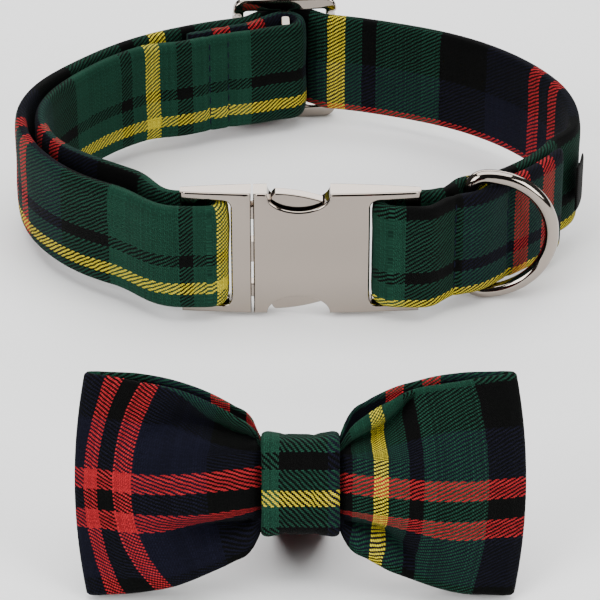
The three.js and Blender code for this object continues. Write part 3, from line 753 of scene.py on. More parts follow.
@dataclass
class Route:
    """The strap's middle line in plan.

    Args:
        points: (n, 2) places in millimetres.
        along: (n,) distance along the loop, which the sett is placed by.
        stretch: (n,) number of the stretch.
    """

    points: np.ndarray
    along: np.ndarray
    stretch: np.ndarray


LEFT_FRONT_LIFT = ([0, 30, 70, 110], [2.8, 1.7, 0.5, 0])
RIGHT_INSIDE_DROP = ([70.0, 95.0], [1.5, 0.0])


@dataclass
class Strap:
    """The long strap: folded cloth over webbing, in one piece with two long doubled stretches.

    Sizes are in millimetres. Distances along the strap count from the buckle's middle to the right.
    The phases say where in the crosswise sett a stretch starts, and sett_at_top which place of the
    lengthwise sett lies on the strap's upper edge, before the shift of each stretch.
    """

    loop: Loop = field(default_factory=Loop)
    width: float = 25.5
    thickness: float = 3.15
    layer_pitch: float = 3.5
    left_side_gap: float = 1.6
    left_front_gap: float = 5.2
    left_gap_start: float = 45.0
    bar_middle: tuple[float, float] = (20.669, -41.576)
    turn_radius: float = 3.419
    bar_end: float = 26.85
    slider_shift: float = 3.8
    slider_inset: float = 3.8
    slider_turn: float = 3.406
    hump_half_length: float = 11.0
    tail_length: float = 27.0
    runout: float = 14.0
    ring_station: float = 41.4
    ring_bulge: float = 1.2
    ring_wire: float = 3.2
    ring_clearance: float = 0.35
    pressed_layer: float = 3.0
    pocket_start: float = 35.4
    pocket_end: float = 51.0
    fold_end: float = 70.5
    section_points: int = 64
    face_power: float = 3.2
    edge_power: float = 9.0
    step: float = 0.8
    fine_step: float = 0.2
    stitch_rows: tuple[float, ...] = (35.4, 50.2)
    tail_stitch_rows: tuple[float, ...] = (201.0, 206.6)
    groove_width: float = 0.75
    stitch_pull: float = 0.5
    padding_waves: float = 0.07
    edge_waver: float = 0.16
    left_inside_phase: float = 222.2
    left_front_phase: float = 344.4
    right_inside_phase: float = 171.2
    folded_phase: float = 4.2
    sett_at_top: float = 23.8
    left_inside_shift: float = -2.2
    folded_shift: float = 1.8

    @property
    def ring_depth(self) -> float:
        """Depth of the middle of the D-ring's straight bar."""
        return self.pressed_layer - self.ring_bulge + self.ring_clearance + self.ring_wire / 2

    def _depths(self) -> dict[str, tuple[list[float], list[float]]]:
        """Tables of depth against distance along, for each layer that swings in and out."""
        half, pitch = self.thickness / 2, self.layer_pitch
        total = self.loop.total
        slider = self.slider_station()
        tail_end = slider + self.tail_length
        ring = self.ring_depth
        beside = self.ring_wire / 2 + self.ring_clearance + half
        side = half + self.pressed_layer + self.left_side_gap
        front = half + self.pressed_layer + self.left_front_gap
        pocket = [self.pocket_start, self.ring_station, self.pocket_end]
        return {
            "inner_left": (
                [tail_end + 1, tail_end + self.runout, total * 0.75, total - self.left_gap_start],
                [half + 2 * pitch, side, side, front],
            ),
            "inner_right": (
                [*pocket, self.fold_end + 2, self.fold_end + self.runout],
                [half + pitch, ring + beside, half + pitch, half + pitch, half],
            ),
            "outer_right": (
                [*pocket, self.fold_end],
                [half - self.ring_bulge / 2, ring - beside, half, half],
            ),
        }

    def slider_station(self) -> float:
        """Distance along the loop at which the slider's bar stands."""
        points, way = self.loop.line()
        behind = points[:, 1] > 0
        return float(way[behind][np.argmin(np.abs(points[behind, 0] + self.slider_shift))])

    def _hump(self, along: np.ndarray) -> np.ndarray:
        """Share of the swing over the slider's bar: a squared cosine."""
        share = np.clip(np.abs(along - self.slider_station()) / self.hump_half_length, 0, 1)
        return np.cos(math.pi / 2 * share) ** 2

    def _tail_depth(self, along: np.ndarray) -> np.ndarray:
        """Depth of the layer sewn back over the slider's bar."""
        rest = self.thickness / 2 + self.layer_pitch
        return rest - (rest - self.slider_inset + self.slider_turn) * self._hump(along)

    def _beside_bar(self, side: int, level: int, along: float, depth: float) -> np.ndarray:
        """Bridge from the buckle's end bar to a place on the loop, by a cubic curve.

        Args:
            side: -1 for the left end of the buckle and 1 for the right.
            level: 1 for the layer behind the bar and -1 for the one in front.
            along: distance along the loop where it ends.
            depth: depth there.

        Returns:
            Points from the turn's centre line outwards.
        """
        y = self.bar_middle[1] + level * self.turn_radius
        near, ahead = self.loop.place(np.array(along), np.array(depth))
        far = np.array([side * self.bar_end, y])
        reach = 0.4 * np.linalg.norm(near - far)
        t = np.linspace(0, 1, 20)[:, None]
        knots = [far, far + [side * reach, 0], near - side * reach * ahead, near]
        weights = [(1 - t) ** 3, 3 * t * (1 - t) ** 2, 3 * t**2 * (1 - t), t**3]
        curve = sum(weight * knot for weight, knot in zip(weights, knots))
        start = np.linspace([side * self.bar_middle[0], y], far, 8)[:-1]
        return np.vstack([start, curve])

    def route(self) -> Route:
        """Work out the middle line in plan.

        Returns:
            The route, resampled at even steps and smoothed.
        """
        loop, half = self.loop, self.thickness / 2
        total, slider = loop.total, self.slider_station()
        depths = self._depths()
        hump_end, hump_start = slider + self.hump_half_length, slider - self.hump_half_length
        left_start = total - self.left_gap_start
        parts: list[tuple[Stretch, np.ndarray, np.ndarray]] = []

        def run(stretch: Stretch, start: float, end: float, depth: PointMap) -> None:
            """Add points along the loop at the depth that a function gives."""
            along = np.linspace(start, end, max(3, int(abs(end - start) / self.step)))
            parts.append((stretch, loop.place(along, depth(along))[0], along))

        def arc(
            stretch: Stretch, centre: np.ndarray, radius: float, start: float, sweep: float, along: float
        ) -> None:
            """Add points on a turn about a centre, angles in degrees."""
            angle = np.radians(start + sweep * np.linspace(0.05, 0.95, 14))
            points = centre + radius * np.stack([np.cos(angle), np.sin(angle)], 1)
            parts.append((stretch, points, np.full(len(points), along)))

        def bridge(
            stretch: Stretch, side: int, level: int, along: float, depth: float, outwards: bool
        ) -> None:
            """Add the bridge beside the buckle's bar."""
            points = self._beside_bar(side, level, along, depth)
            way = way_along(points)
            share = way / way[-1]
            first = self.bar_middle[0] if side > 0 else total - self.bar_middle[0]
            places = first + (along - first) * share
            order = slice(None) if outwards else slice(None, None, -1)
            parts.append((stretch, points[order], places[order]))

        def over(start: float, end: float) -> None:
            """Add the layer that lies parallel outside the sewn tail."""
            along = np.linspace(start, end, 40)
            nearby = self.fine_step / 2
            rise = self._tail_depth(along + nearby) - self._tail_depth(along - nearby)
            slope = rise / self.fine_step
            length = np.hypot(1, slope)
            shifted = along + self.layer_pitch * slope / length
            depth = self._tail_depth(along) - self.layer_pitch / length
            parts.append((Stretch.OVER_SLIDER, loop.place(shifted, depth)[0], shifted))

        centre, ahead = loop.place(np.array(slider), np.array(self.slider_inset))
        outward = math.degrees(math.atan2(-ahead[0], ahead[1]))
        run(Stretch.TAIL, slider + self.tail_length, slider, self._tail_depth)
        arc(Stretch.BAR_TURN, centre, self.slider_turn, outward, -180, slider)
        near = half + 2 * self.layer_pitch
        run(Stretch.INNER_LEFT, slider, hump_end,
            lambda s: near - (near - self.slider_inset - self.slider_turn) * self._hump(s))
        run(Stretch.INNER_LEFT, hump_end + 1, left_start, lambda s: eased(s, *depths["inner_left"]))
        bridge(Stretch.INNER_LEFT, -1, 1, left_start, depths["inner_left"][1][-1], False)
        left = np.array([-self.bar_middle[0], self.bar_middle[1]])
        arc(Stretch.LEFT_TURN, left, self.turn_radius, 90, -180, total - self.bar_middle[0])
        bridge(Stretch.OUTER_LEFT, -1, -1, left_start, half, True)
        run(Stretch.OUTER_LEFT, left_start, hump_end + 2, lambda s: np.full_like(s, half))
        over(hump_end, hump_start)
        run(Stretch.SINGLE, hump_start - 2, self.fold_end + self.runout, lambda s: np.full_like(s, half))
        run(Stretch.INNER_RIGHT, self.fold_end + self.runout, self.pocket_start,
            lambda s: eased(s, *depths["inner_right"]))
        bridge(Stretch.INNER_RIGHT, 1, 1, self.pocket_start, depths["inner_right"][1][0], False)
        arc(Stretch.RIGHT_TURN, np.array(self.bar_middle), self.turn_radius, 90, 180, self.bar_middle[0])
        bridge(Stretch.FOLDED_BACK, 1, -1, self.pocket_start, depths["outer_right"][1][0], True)
        run(Stretch.FOLDED_BACK, self.pocket_start, self.fold_end, lambda s: eased(s, *depths["outer_right"]))
        return self._resampled(parts)

    def _resampled(self, parts: list[tuple[Stretch, np.ndarray, np.ndarray]]) -> Route:
        """Join the parts, space the points evenly and smooth them over about a millimetre.

        Args:
            parts: for each, its stretch, its points and their distances along the loop.

        Returns:
            The route at even steps.
        """
        points = np.vstack([part[1] for part in parts])
        along = np.concatenate([part[2] for part in parts])
        stretch = np.concatenate([np.full(len(part[1]), part[0].value) for part in parts])
        gaps = np.hypot(*np.diff(points, axis=0).T)
        keep = np.concatenate([[True], gaps > 1e-3])
        points, along, stretch = points[keep], along[keep], stretch[keep]
        way = way_along(points)
        fine = np.arange(0, way[-1], self.fine_step)
        line = read_off(points, way, fine)
        window, softness = 12, 0.9
        weights = bell(np.arange(-window, window + 1) * self.fine_step, softness)
        weights /= weights.sum()
        padded = np.vstack([line[:1].repeat(window, 0), line, line[-1:].repeat(window, 0)])
        line = np.stack([np.convolve(padded[:, k], weights, "valid") for k in (0, 1)], 1)
        pick = np.arange(0, len(fine), int(self.step / self.fine_step))
        nearest = np.clip(np.searchsorted(way, fine[pick]), 0, len(stretch) - 1)
        return Route(line[pick], np.interp(fine[pick], way, along), stretch[nearest])

    def _section(self) -> tuple[np.ndarray, np.ndarray, np.ndarray]:
        """The folded cloth's section: a flat superellipse.

        Returns:
            Share of the half thickness towards the outer face, share of the half width upwards, and
            the way round in millimetres, for points that start at the top and go down the outer face.
        """
        x, z = flat_section(4000, self.face_power, self.edge_power)
        a, b = x * self.thickness / 2, z * self.width / 2
        way = way_along(np.stack([a, b], 1))
        turn = np.abs(np.gradient(np.unwrap(np.arctan2(np.gradient(b), np.gradient(a)))))
        corner_share = 1.6
        weight = np.concatenate([[0], np.cumsum(np.diff(way) + corner_share * turn[1:])])
        spots = np.linspace(0, weight[-1], self.section_points + 1)
        x, z, way = (np.interp(spots, weight, values) for values in (x, z, way))
        return x[:-1], z[:-1], way

    def _sett_along(self, route: Route) -> np.ndarray:
        """Place in the crosswise sett along the route, stretch by stretch.

        Beside the left turn it counts the distance walked from the turn, and further on the
        distance along the loop.

        Args:
            route: the strap's route.

        Returns:
            Millimetres of the sett for each point.
        """
        s, stretch = route.along, route.stretch
        way = np.arange(len(s)) * self.step
        slider = self.slider_station()
        total = self.loop.total

        def since(kind: Stretch, last: bool) -> np.ndarray:
            """Distance from the stretch's first or last point."""
            inside = np.flatnonzero(stretch == kind.value)
            return way - way[inside[-1 if last else 0]]

        left = total - self.bar_middle[0]
        nominal = left - s
        walked = since(Stretch.OUTER_LEFT, False)
        slack, start, run = 1.3, 6.0, 25.0
        walked = walked + slack * smooth(walked / start)
        beside_turn = walked + (nominal - walked) * smooth((nominal - start) / run)
        return np.select(
            [
                stretch <= Stretch.BAR_TURN.value,
                stretch == Stretch.INNER_LEFT.value,
                stretch == Stretch.LEFT_TURN.value,
                (stretch <= Stretch.OVER_SLIDER.value) & (s > slider),
                stretch <= Stretch.INNER_RIGHT.value,
                stretch == Stretch.RIGHT_TURN.value,
            ],
            [
                (slider - self.left_inside_phase) + since(Stretch.INNER_LEFT, False),
                s - self.left_inside_phase,
                (self.left_front_phase - left) + since(Stretch.LEFT_TURN, True),
                (self.left_front_phase - left) + beside_turn,
                self.right_inside_phase - s,
                -(self.bar_middle[0] + self.folded_phase) - since(Stretch.RIGHT_TURN, True),
            ],
            -(s + self.folded_phase),
        )

    def _sett_across(self, route: Route, way_round: np.ndarray) -> np.ndarray:
        """Place in the lengthwise sett for each point of the section and its seam."""
        s, stretch = route.along, route.stretch
        lifted = np.interp(self.loop.total - self.bar_middle[0] - s, *LEFT_FRONT_LIFT)
        shift = np.select(
            [
                stretch <= Stretch.INNER_LEFT.value,
                stretch <= Stretch.OVER_SLIDER.value,
                stretch <= Stretch.INNER_RIGHT.value,
            ],
            [self.left_inside_shift, -lifted, eased(s, *RIGHT_INSIDE_DROP)],
            self.folded_shift,
        )
        folded = stretch >= Stretch.RIGHT_TURN.value
        sign = np.where(folded, -1.0, 1.0)
        down_outer = way_round[None, :]
        down_inner = way_round[-1] - down_outer
        outer_half = np.arange(len(way_round)) <= self.section_points // 2
        distance = np.where(outer_half[None, :], -down_outer, down_inner)
        return (self.sett_at_top + shift)[:, None] + sign[:, None] * distance

    def _grooves(self, route: Route) -> np.ndarray:
        """How deep the rows of stitches pull the cloth in, along the route."""
        s, stretch = route.along, route.stretch
        right = (stretch == Stretch.FOLDED_BACK.value) | (stretch == Stretch.INNER_RIGHT.value)
        left = (stretch == Stretch.INNER_LEFT.value) | (stretch == Stretch.TAIL.value)
        pull = np.zeros_like(s)
        for row in self.stitch_rows:
            pull += np.where(right, bell(s - row, self.groove_width), 0)
        for row in self.tail_stitch_rows:
            pull += np.where(left, bell(s - row, self.groove_width), 0)
        return np.clip(pull, 0, 1)

    def grid(self) -> Grid:
        """Sweep the section along the route.

        The cloth is pulled in at each row of stitches, padded between them, and its edges waver.

        Returns:
            The surface as a grid.
        """
        route = self.route()
        x, z, way_round = self._section()
        aside = left_of(unit(np.gradient(route.points, axis=0)))
        way = np.arange(len(route.along)) * self.step
        pull = self._grooves(route)
        spread = np.repeat((x * self.thickness / 2)[None, :], len(way), 0)
        flatness = np.clip(1 - np.abs(z) ** 6, 0, 1)
        waves = ripple(way[:, None], (z * self.width / 2)[None, :] + 40 * np.sign(x)[None, :], 16, 1)
        spread *= 1 + self.padding_waves * waves * flatness[None, :]
        spread *= 1 - self.stitch_pull * pull[:, None] * (0.35 + 0.65 * flatness[None, :])
        ends = np.minimum(way, way[-1] - way)
        spread *= np.clip(0.55 + ends / 2.5, 0, 1)[:, None]
        rise = z[None, :] * (self.width / 2) * (1 - 0.012 * pull[:, None])
        waver = self.edge_waver * ripple(way, np.zeros_like(way), 22, 3)
        rise = rise + waver[:, None] * np.abs(z[None, :]) ** 3
        points = np.concatenate(
            [route.points[:, None, :] + aside[:, None, :] * spread[..., None], rise[..., None]],
            axis=2,
        )
        along = np.repeat(self._sett_along(route)[:, None], len(way_round), 1)
        return Grid(points, along, self._sett_across(route, way_round), cap_rows=True)


@dataclass
class Placer:
    """Turns a group's own millimetres into metres of the frame.

    Args:
        origin: the group's origin in the frame, in millimetres.
        lean: degrees that the group leans back about X.
    """

    origin: np.ndarray
    lean: float = 0.0

    def __call__(self, points: np.ndarray) -> np.ndarray:
        """Lean, move and scale (n, 3) points."""
        angle = math.radians(self.lean)
        cosine, sine = math.cos(angle), math.sin(angle)
        x, y, z = np.asarray(points, float).reshape(-1, 3).T
        turned = np.stack([x, y * cosine + z * sine, z * cosine - y * sine], 1)
        return (turned + self.origin) * MM


def link(name: str, data: bpy.types.ID) -> bpy.types.Object:
    """Put a mesh or curve into the scene as an object."""
    made = bpy.data.objects.new(name, data)
    bpy.context.scene.collection.objects.link(made)
    return made


def baked(target: bpy.types.Object) -> bpy.types.Mesh:
    """Mesh of an object as its modifiers leave it; the object is removed."""
    bpy.context.view_layer.update()
    graph = bpy.context.evaluated_depsgraph_get()
    mesh = bpy.data.meshes.new_from_object(target.evaluated_get(graph))
    bpy.data.objects.remove(target)
    return mesh


def moved(mesh: bpy.types.Mesh, shift: PointMap) -> bpy.types.Mesh:
    """Move all of a mesh's points by a function of (n, 3) arrays."""
    points = np.empty(len(mesh.vertices) * 3)
    mesh.vertices.foreach_get("co", points)
    mesh.vertices.foreach_set("co", shift(points.reshape(-1, 3)).ravel())
    mesh.update()
    return mesh


def rounded_outline(x0: float, x1: float, z0: float, z1: float, corner: float, steps: int = 7) -> np.ndarray:
    """Outline of a rectangle with round corners, anticlockwise.

    Args:
        x0: left side.
        x1: right side.
        z0: lower side.
        z1: upper side.
        corner: radius of the corners.
        steps: points on each corner.

    Returns:
        (n, 2) points: a quarter circle about each corner's centre.
    """
    turns = np.radians(np.linspace(0, 90, steps))
    corners = [
        (x1 - corner, z0 + corner, -90),
        (x1 - corner, z1 - corner, 0),
        (x0 + corner, z1 - corner, 90),
        (x0 + corner, z0 + corner, 180),
    ]
    arcs = []
    for centre_x, centre_z, start in corners:
        angle = turns + math.radians(start)
        arcs.append(np.stack([centre_x + corner * np.cos(angle), centre_z + corner * np.sin(angle)], 1))
    return np.vstack(arcs)


@dataclass
class Plate:
    """A flat plate with round edges, cut from an outline with holes.

    Args:
        outline: (n, 2) points in millimetres.
        holes: outlines of the holes.
        thickness: of the plate.
        edge: radius of the round edges.
        cuts_x: where the faces are divided, so that the plate can be bent.
        cuts_z: the same across.
    """

    outline: np.ndarray
    holes: list[np.ndarray]
    thickness: float
    edge: float
    cuts_x: np.ndarray
    cuts_z: np.ndarray = field(default_factory=lambda: np.array([]))

    def mesh(self) -> bpy.types.Mesh:
        """Make the plate standing in the X-Z plane, its depth in Y from 0 to its thickness.

        A filled curve gives the faces and its bevel the round edges.

        Returns:
            The mesh in millimetres.
        """
        curve = bpy.data.curves.new("plate", "CURVE")
        curve.dimensions = "2D"
        curve.fill_mode = "BOTH"
        curve.extrude = self.thickness / 2 - self.edge
        curve.bevel_depth = self.edge
        curve.bevel_resolution = 3
        curve.offset = -self.edge
        for ring in [self.outline, *self.holes]:
            spline = curve.splines.new("POLY")
            spline.points.add(len(ring) - 1)
            flat = np.zeros((len(ring), 4))
            flat[:, :2] = ring
            spline.points.foreach_set("co", flat.ravel())
            spline.use_cyclic_u = True
        mesh = baked(link("plate", curve))
        work = bmesh.new()
        work.from_mesh(mesh)
        bmesh.ops.remove_doubles(work, verts=work.verts, dist=0.002)
        for normal, cuts in (((1, 0, 0), self.cuts_x), ((0, 1, 0), self.cuts_z)):
            for cut in cuts:
                everything = [*work.verts, *work.edges, *work.faces]
                spot = Vector(normal) * float(cut)
                bmesh.ops.bisect_plane(work, geom=everything, dist=1e-5, plane_co=spot, plane_no=normal)
        bmesh.ops.recalc_face_normals(work, faces=work.faces)
        work.to_mesh(mesh)
        work.free()
        return moved(mesh, lambda p: np.stack([p[:, 0], self.thickness / 2 - p[:, 2], p[:, 1]], 1))


def carved(body: bpy.types.Mesh, tools: list[bpy.types.Mesh], operation: str) -> bpy.types.Mesh:
    """Cut a body with tools, or join them to it.

    Args:
        body: closed mesh.
        tools: closed meshes.
        operation: DIFFERENCE or UNION.

    Returns:
        The resulting mesh.
    """
    for tool in tools:
        holder, cutter = link("body", body), link("tool", tool)
        step = holder.modifiers.new("cut", "BOOLEAN")
        step.operation, step.solver, step.object = operation, "EXACT", cutter
        body = baked(holder)
        bpy.data.objects.remove(cutter)
    return body


def shaded(mesh: bpy.types.Mesh, sharp: float = 50.0) -> bpy.types.Mesh:
    """Smooth a metal mesh but for edges sharper than the angle, and keep its flats flat."""
    mesh.polygons.foreach_set("use_smooth", [True] * len(mesh.polygons))
    mesh.set_sharp_from_angle(angle=math.radians(sharp))
    holder = link("shaded", mesh)
    weigh = holder.modifiers.new("flats", "WEIGHTED_NORMAL")
    weigh.mode = "FACE_AREA"
    weigh.weight = 80
    weigh.keep_sharp = True
    return baked(holder)


@dataclass
class Buckle:
    """The side-release buckle: two bowed parts with web slots, notches and sprung buttons.

    Sizes are in millimetres from the buckle's middle.
    """

    front: float = -44.2
    half_length: float = 26.5
    height: float = 30.6
    thickness: float = 5.6
    tip_thickness: float = 2.8
    sag: float = 1.2
    split: float = -10.65
    split_gap: float = 0.5
    slot_start: float = 15.4
    slot_end: float = 23.2
    slot_height: float = 26.6
    slot_corner: float = 1.6
    socket_thickness: float = 3.6
    socket_height: float = 23.6
    socket_end: float = 12.4
    notch_middle: float = -0.4
    notch_half_length: float = 7.0
    notch_depth: float = 4.4
    edge: float = 0.5
    prong_thickness: float = 2.8
    prong_arm: float = 3.2
    prong_end: float = 8.4
    button_start: float = -6.6
    button_end: float = 4.9
    button_sink: float = 0.45
    button_fall: float = 2.0
    button_round: float = 1.5
    tongue_half_height: float = 2.6
    clearance: float = 0.35

    def _bent(self, mesh: bpy.types.Mesh) -> bpy.types.Mesh:
        """Bow a plate back to both ends and taper it, keeping its edges round.

        The front lies at sag times the square of x over the half length, and the thickness falls
        from the middle's to the tip's in the same way. Depths within an edge of a face stay.
        """

        def shift(p: np.ndarray) -> np.ndarray:
            """Depth of a point as the taper leaves it."""
            share = (p[:, 0] / self.half_length) ** 2
            thick = self.thickness - (self.thickness - self.tip_thickness) * share
            inner = np.clip((p[:, 1] - self.edge) / (self.thickness - 2 * self.edge), 0, 1)
            spare = np.where(
                p[:, 1] <= self.edge,
                p[:, 1],
                np.where(
                    p[:, 1] >= self.thickness - self.edge,
                    thick - (self.thickness - p[:, 1]),
                    self.edge + inner * (thick - 2 * self.edge),
                ),
            )
            return np.stack([p[:, 0], self.front + self.sag * share + spare, p[:, 2]], 1)

        return moved(mesh, shift)

    def _slot(self, side: int) -> np.ndarray:
        """Outline of the strap's slot at one end."""
        ends = sorted((side * self.slot_start, side * self.slot_end))
        half = self.slot_height / 2
        return rounded_outline(ends[0], ends[1], -half, half, self.slot_corner)

    def _cuts(self) -> np.ndarray:
        """Places where the faces are divided to follow the bow."""
        return np.linspace(-self.half_length, self.half_length, 41)[1:-1]

    def _block(self, x0: float, x1: float, z0: float, z1: float, thickness: float) -> bpy.types.Mesh:
        """A plain block in the middle of the buckle's thickness."""
        outline = rounded_outline(x0, x1, z0, z1, 0.3, 4)
        middle = self.front + self.thickness / 2 - thickness / 2
        block = Plate(outline, [], thickness, 0.02, np.array([])).mesh()
        return moved(block, lambda p: p + [0, middle, 0])

    def housing(self) -> bpy.types.Mesh:
        """The right part: slab with notches, slot, socket and the windows of the buttons.

        Returns:
            The mesh in the collar's millimetres, heights from the strap's middle.
        """
        half, left = self.height / 2, self.split + self.split_gap / 2
        turn = np.linspace(0, math.pi, 33)
        dip = np.stack([np.cos(turn) * self.notch_half_length, np.sin(turn) * self.notch_depth], 1)
        lower = dip[::-1] + [self.notch_middle, -half]
        upper = dip * [1, -1] + [self.notch_middle, half]
        corners = np.array([[left, -half], [self.half_length, -half], [self.half_length, half], [left, half]])
        outline = np.vstack([corners[:1], lower, corners[1:3], upper, corners[3:]])
        body = self._bent(Plate(outline, [self._slot(1)], self.thickness, self.edge, self._cuts()).mesh())
        reach = self.socket_height / 2
        tools = [self._block(self.split - 2, self.socket_end, -reach, reach, self.socket_thickness)]
        for side in (-1, 1):
            ends = sorted((side * (reach - 1), side * (half + 1)))
            start, end = self.button_start - self.clearance, self.button_end + self.clearance
            tools.append(self._block(start, end, ends[0], ends[1], self.socket_thickness))
        return shaded(carved(body, tools, "DIFFERENCE"))

    def _prong(self, side: int) -> bpy.types.Mesh:
        """One sprung arm with its button, whose outside is a low arch that falls to the right."""
        outer = self.socket_height / 2 - self.clearance
        share = np.linspace(0, 1, 30)
        x = self.button_start + share * (self.button_end - self.button_start)
        blunt = self.button_round * np.clip(1 - share / 0.1, 0, 1) ** 2
        arch = self.height / 2 - self.button_sink - self.button_fall * share**2 - blunt
        start = self.split - self.split_gap
        rows = [
            (start, outer),
            *zip(x, arch),
            (self.button_end + 0.2, outer),
            (self.prong_end, outer - 1.1),
            (self.prong_end, outer - self.prong_arm),
            (start, outer - self.prong_arm),
        ]
        outline = np.array(rows) * [1, side]
        plate = Plate(outline, [], self.prong_thickness, 0.3, np.array([])).mesh()
        middle = self.front + self.thickness / 2 - self.prong_thickness / 2
        return moved(plate, lambda p: p + [0, middle, 0])

    def clip(self) -> bpy.types.Mesh:
        """The left part: slab with its slot, two sprung arms and the tongue between them."""
        half, right = self.height / 2, self.split - self.split_gap / 2
        left = -self.half_length
        outline = np.array([[left, -half], [right, -half], [right, half], [left, half]])
        body = self._bent(Plate(outline, [self._slot(-1)], self.thickness, self.edge, self._cuts()).mesh())
        reach = self.tongue_half_height
        tongue = self._block(self.split - self.split_gap, self.prong_end, -reach, reach, self.prong_thickness)
        return shaded(carved(body, [self._prong(-1), self._prong(1), tongue], "UNION"))


@dataclass
class Slider:
    """The slider at the back: a frame with two windows whose upright bars weave with the strap."""

    length: float = 25.4
    height: float = 33.0
    thickness: float = 2.2
    side_bar: float = 2.6
    centre_bar: float = 2.2
    window_height: float = 26.6
    corner: float = 3.2
    window_corner: float = 0.7
    edge: float = 0.55
    bar_depth: float = 3.8
    side_depth: float = -2.6
    rim_depth: float = -0.6
    bend_run: float = 3.0

    def mesh(self, loop: Loop, station: float) -> bpy.types.Mesh:
        """Make the frame on the loop.

        The rims are flat; between them the plate bends to the square of the distance from its
        centre bar, from the bar's depth to the side bars' depth.

        Args:
            loop: the strap's plan.
            station: distance along it of the centre bar.

        Returns:
            The mesh in the collar's millimetres.
        """
        half, high = self.length / 2, self.height / 2
        opening = self.window_height / 2
        holes = [
            rounded_outline(*sorted((side * self.centre_bar / 2, side * (half - self.side_bar))),
                            -opening, opening, self.window_corner, 5)
            for side in (-1, 1)
        ]
        outline = rounded_outline(-half, half, -high, high, self.corner, 10)
        cuts_x = np.linspace(-half, half, 31)[1:-1]
        upper_cuts = np.linspace(opening - self.bend_run, opening, 8)
        cuts_z = np.concatenate([upper_cuts, -upper_cuts[::-1]])
        plate = Plate(outline, holes, self.thickness, self.edge, cuts_x, cuts_z).mesh()
        centre, ahead = loop.place(np.array(station), np.array(0.0))
        inward = left_of(ahead)
        side_reach = half - self.side_bar / 2

        def shift(p: np.ndarray) -> np.ndarray:
            """Bend the plate and set it on the strap."""
            bend = self.bar_depth + (self.side_depth - self.bar_depth) * (p[:, 0] / side_reach) ** 2
            leave = smooth((opening - np.abs(p[:, 2])) / self.bend_run)
            depth = self.rim_depth + (bend - self.rim_depth) * leave + p[:, 1] - self.thickness / 2
            plan = centre + p[:, :1] * ahead + depth[:, None] * inward
            return np.column_stack([plan, p[:, 2]])

        return shaded(moved(plate, shift))


@dataclass
class DRing:
    """The lead ring: round wire bent to a D."""

    wire: float = 3.2
    outer_height: float = 32.7
    reach: float = 20.2
    corner: float = 3.4
    turns: int = 220
    sides: int = 28
    smoothings: int = 4

    def mesh(self, loop: Loop, station: float, depth: float, place: Placer) -> bpy.types.Mesh:
        """Sweep a circle round the D.

        The path is a straight bar, two legs and a half circle, with quarter circles at the bar's
        ends, resampled evenly and smoothed.

        Args:
            loop: the strap's plan.
            station: distance along it of the straight bar.
            depth: the bar's depth there.
            place: the collar's placer.

        Returns:
            The mesh in metres.
        """
        half = self.outer_height / 2 - self.wire / 2
        legs = self.reach - self.wire / 2 - half
        corner = min(self.corner, legs)
        quarter = np.radians(np.linspace(0, 90, 12))
        bow = np.radians(np.linspace(-90, 90, 60))
        path = np.vstack([
            np.stack([np.zeros(20), np.linspace(half - corner, corner - half, 20)], 1),
            np.stack([corner - corner * np.cos(quarter), corner - half - corner * np.sin(quarter)], 1),
            np.stack([legs + half * np.cos(bow), half * np.sin(bow)], 1),
            np.stack([corner - corner * np.sin(quarter), half - corner + corner * np.cos(quarter)], 1),
        ])
        line, length = evenly(path, self.turns)
        for _ in range(self.smoothings):
            line = (np.roll(line, 1, 0) + 2 * line + np.roll(line, -1, 0)) / 4
        aside = -left_of(unit(round_about(line)))
        angle = np.linspace(0, 2 * math.pi, self.sides, endpoint=False)
        radius = self.wire / 2
        spread = line[:, None, :] + radius * np.cos(angle)[None, :, None] * aside[:, None, :]
        deep = np.broadcast_to(radius * np.sin(angle), spread.shape[:2])
        bar, _ = loop.place(np.array(station), np.array(depth))
        points = np.stack([bar[0] + spread[..., 0], bar[1] + deep, spread[..., 1]], -1)
        along = np.repeat(np.linspace(0, length, self.turns + 1)[:, None], self.sides + 1, 1)
        across = np.repeat(np.linspace(0, math.tau * radius, self.sides + 1)[None, :], self.turns + 1, 0)
        return Grid(points, along, across, close_rows=True).mesh("d_ring_wire", place)


@dataclass
class Ribbon:
    """A short flat band that follows the outside of the loop, with a rounded section."""

    length: float
    width: float
    thickness: float
    station: float
    depth: float
    face_power: float = 3.5
    edge_power: float = 14.0
    taper: float = 0.8
    end_share: float = 0.35

    def grid(self, loop: Loop) -> Grid:
        """Sweep a flat superellipse along the loop, drawn in at both ends."""
        along = np.linspace(-self.length / 2, self.length / 2, 57)
        x, z = flat_section(48, self.face_power, self.edge_power)
        middle, ahead = loop.place(self.station + along, np.full_like(along, self.depth))
        aside = left_of(ahead)
        ends = np.clip((self.length / 2 - np.abs(along)) / self.taper, 0, 1)
        swell = self.end_share + (1 - self.end_share) * np.sqrt(1 - (1 - ends) ** 2)
        spread = x[None, :-1] * swell[:, None] * self.thickness / 2
        plan = middle[:, None, :] + aside[:, None, :] * spread[..., None]
        rise = np.broadcast_to(z[None, :-1] * self.width / 2, spread.shape)
        points = np.concatenate([plan, rise[..., None]], 2)
        map_along = np.repeat(along[:, None], len(x), 1)
        map_across = np.broadcast_to(z[None, :] * self.width / 2, map_along.shape)
        return Grid(points, map_along, map_across, cap_rows=True)


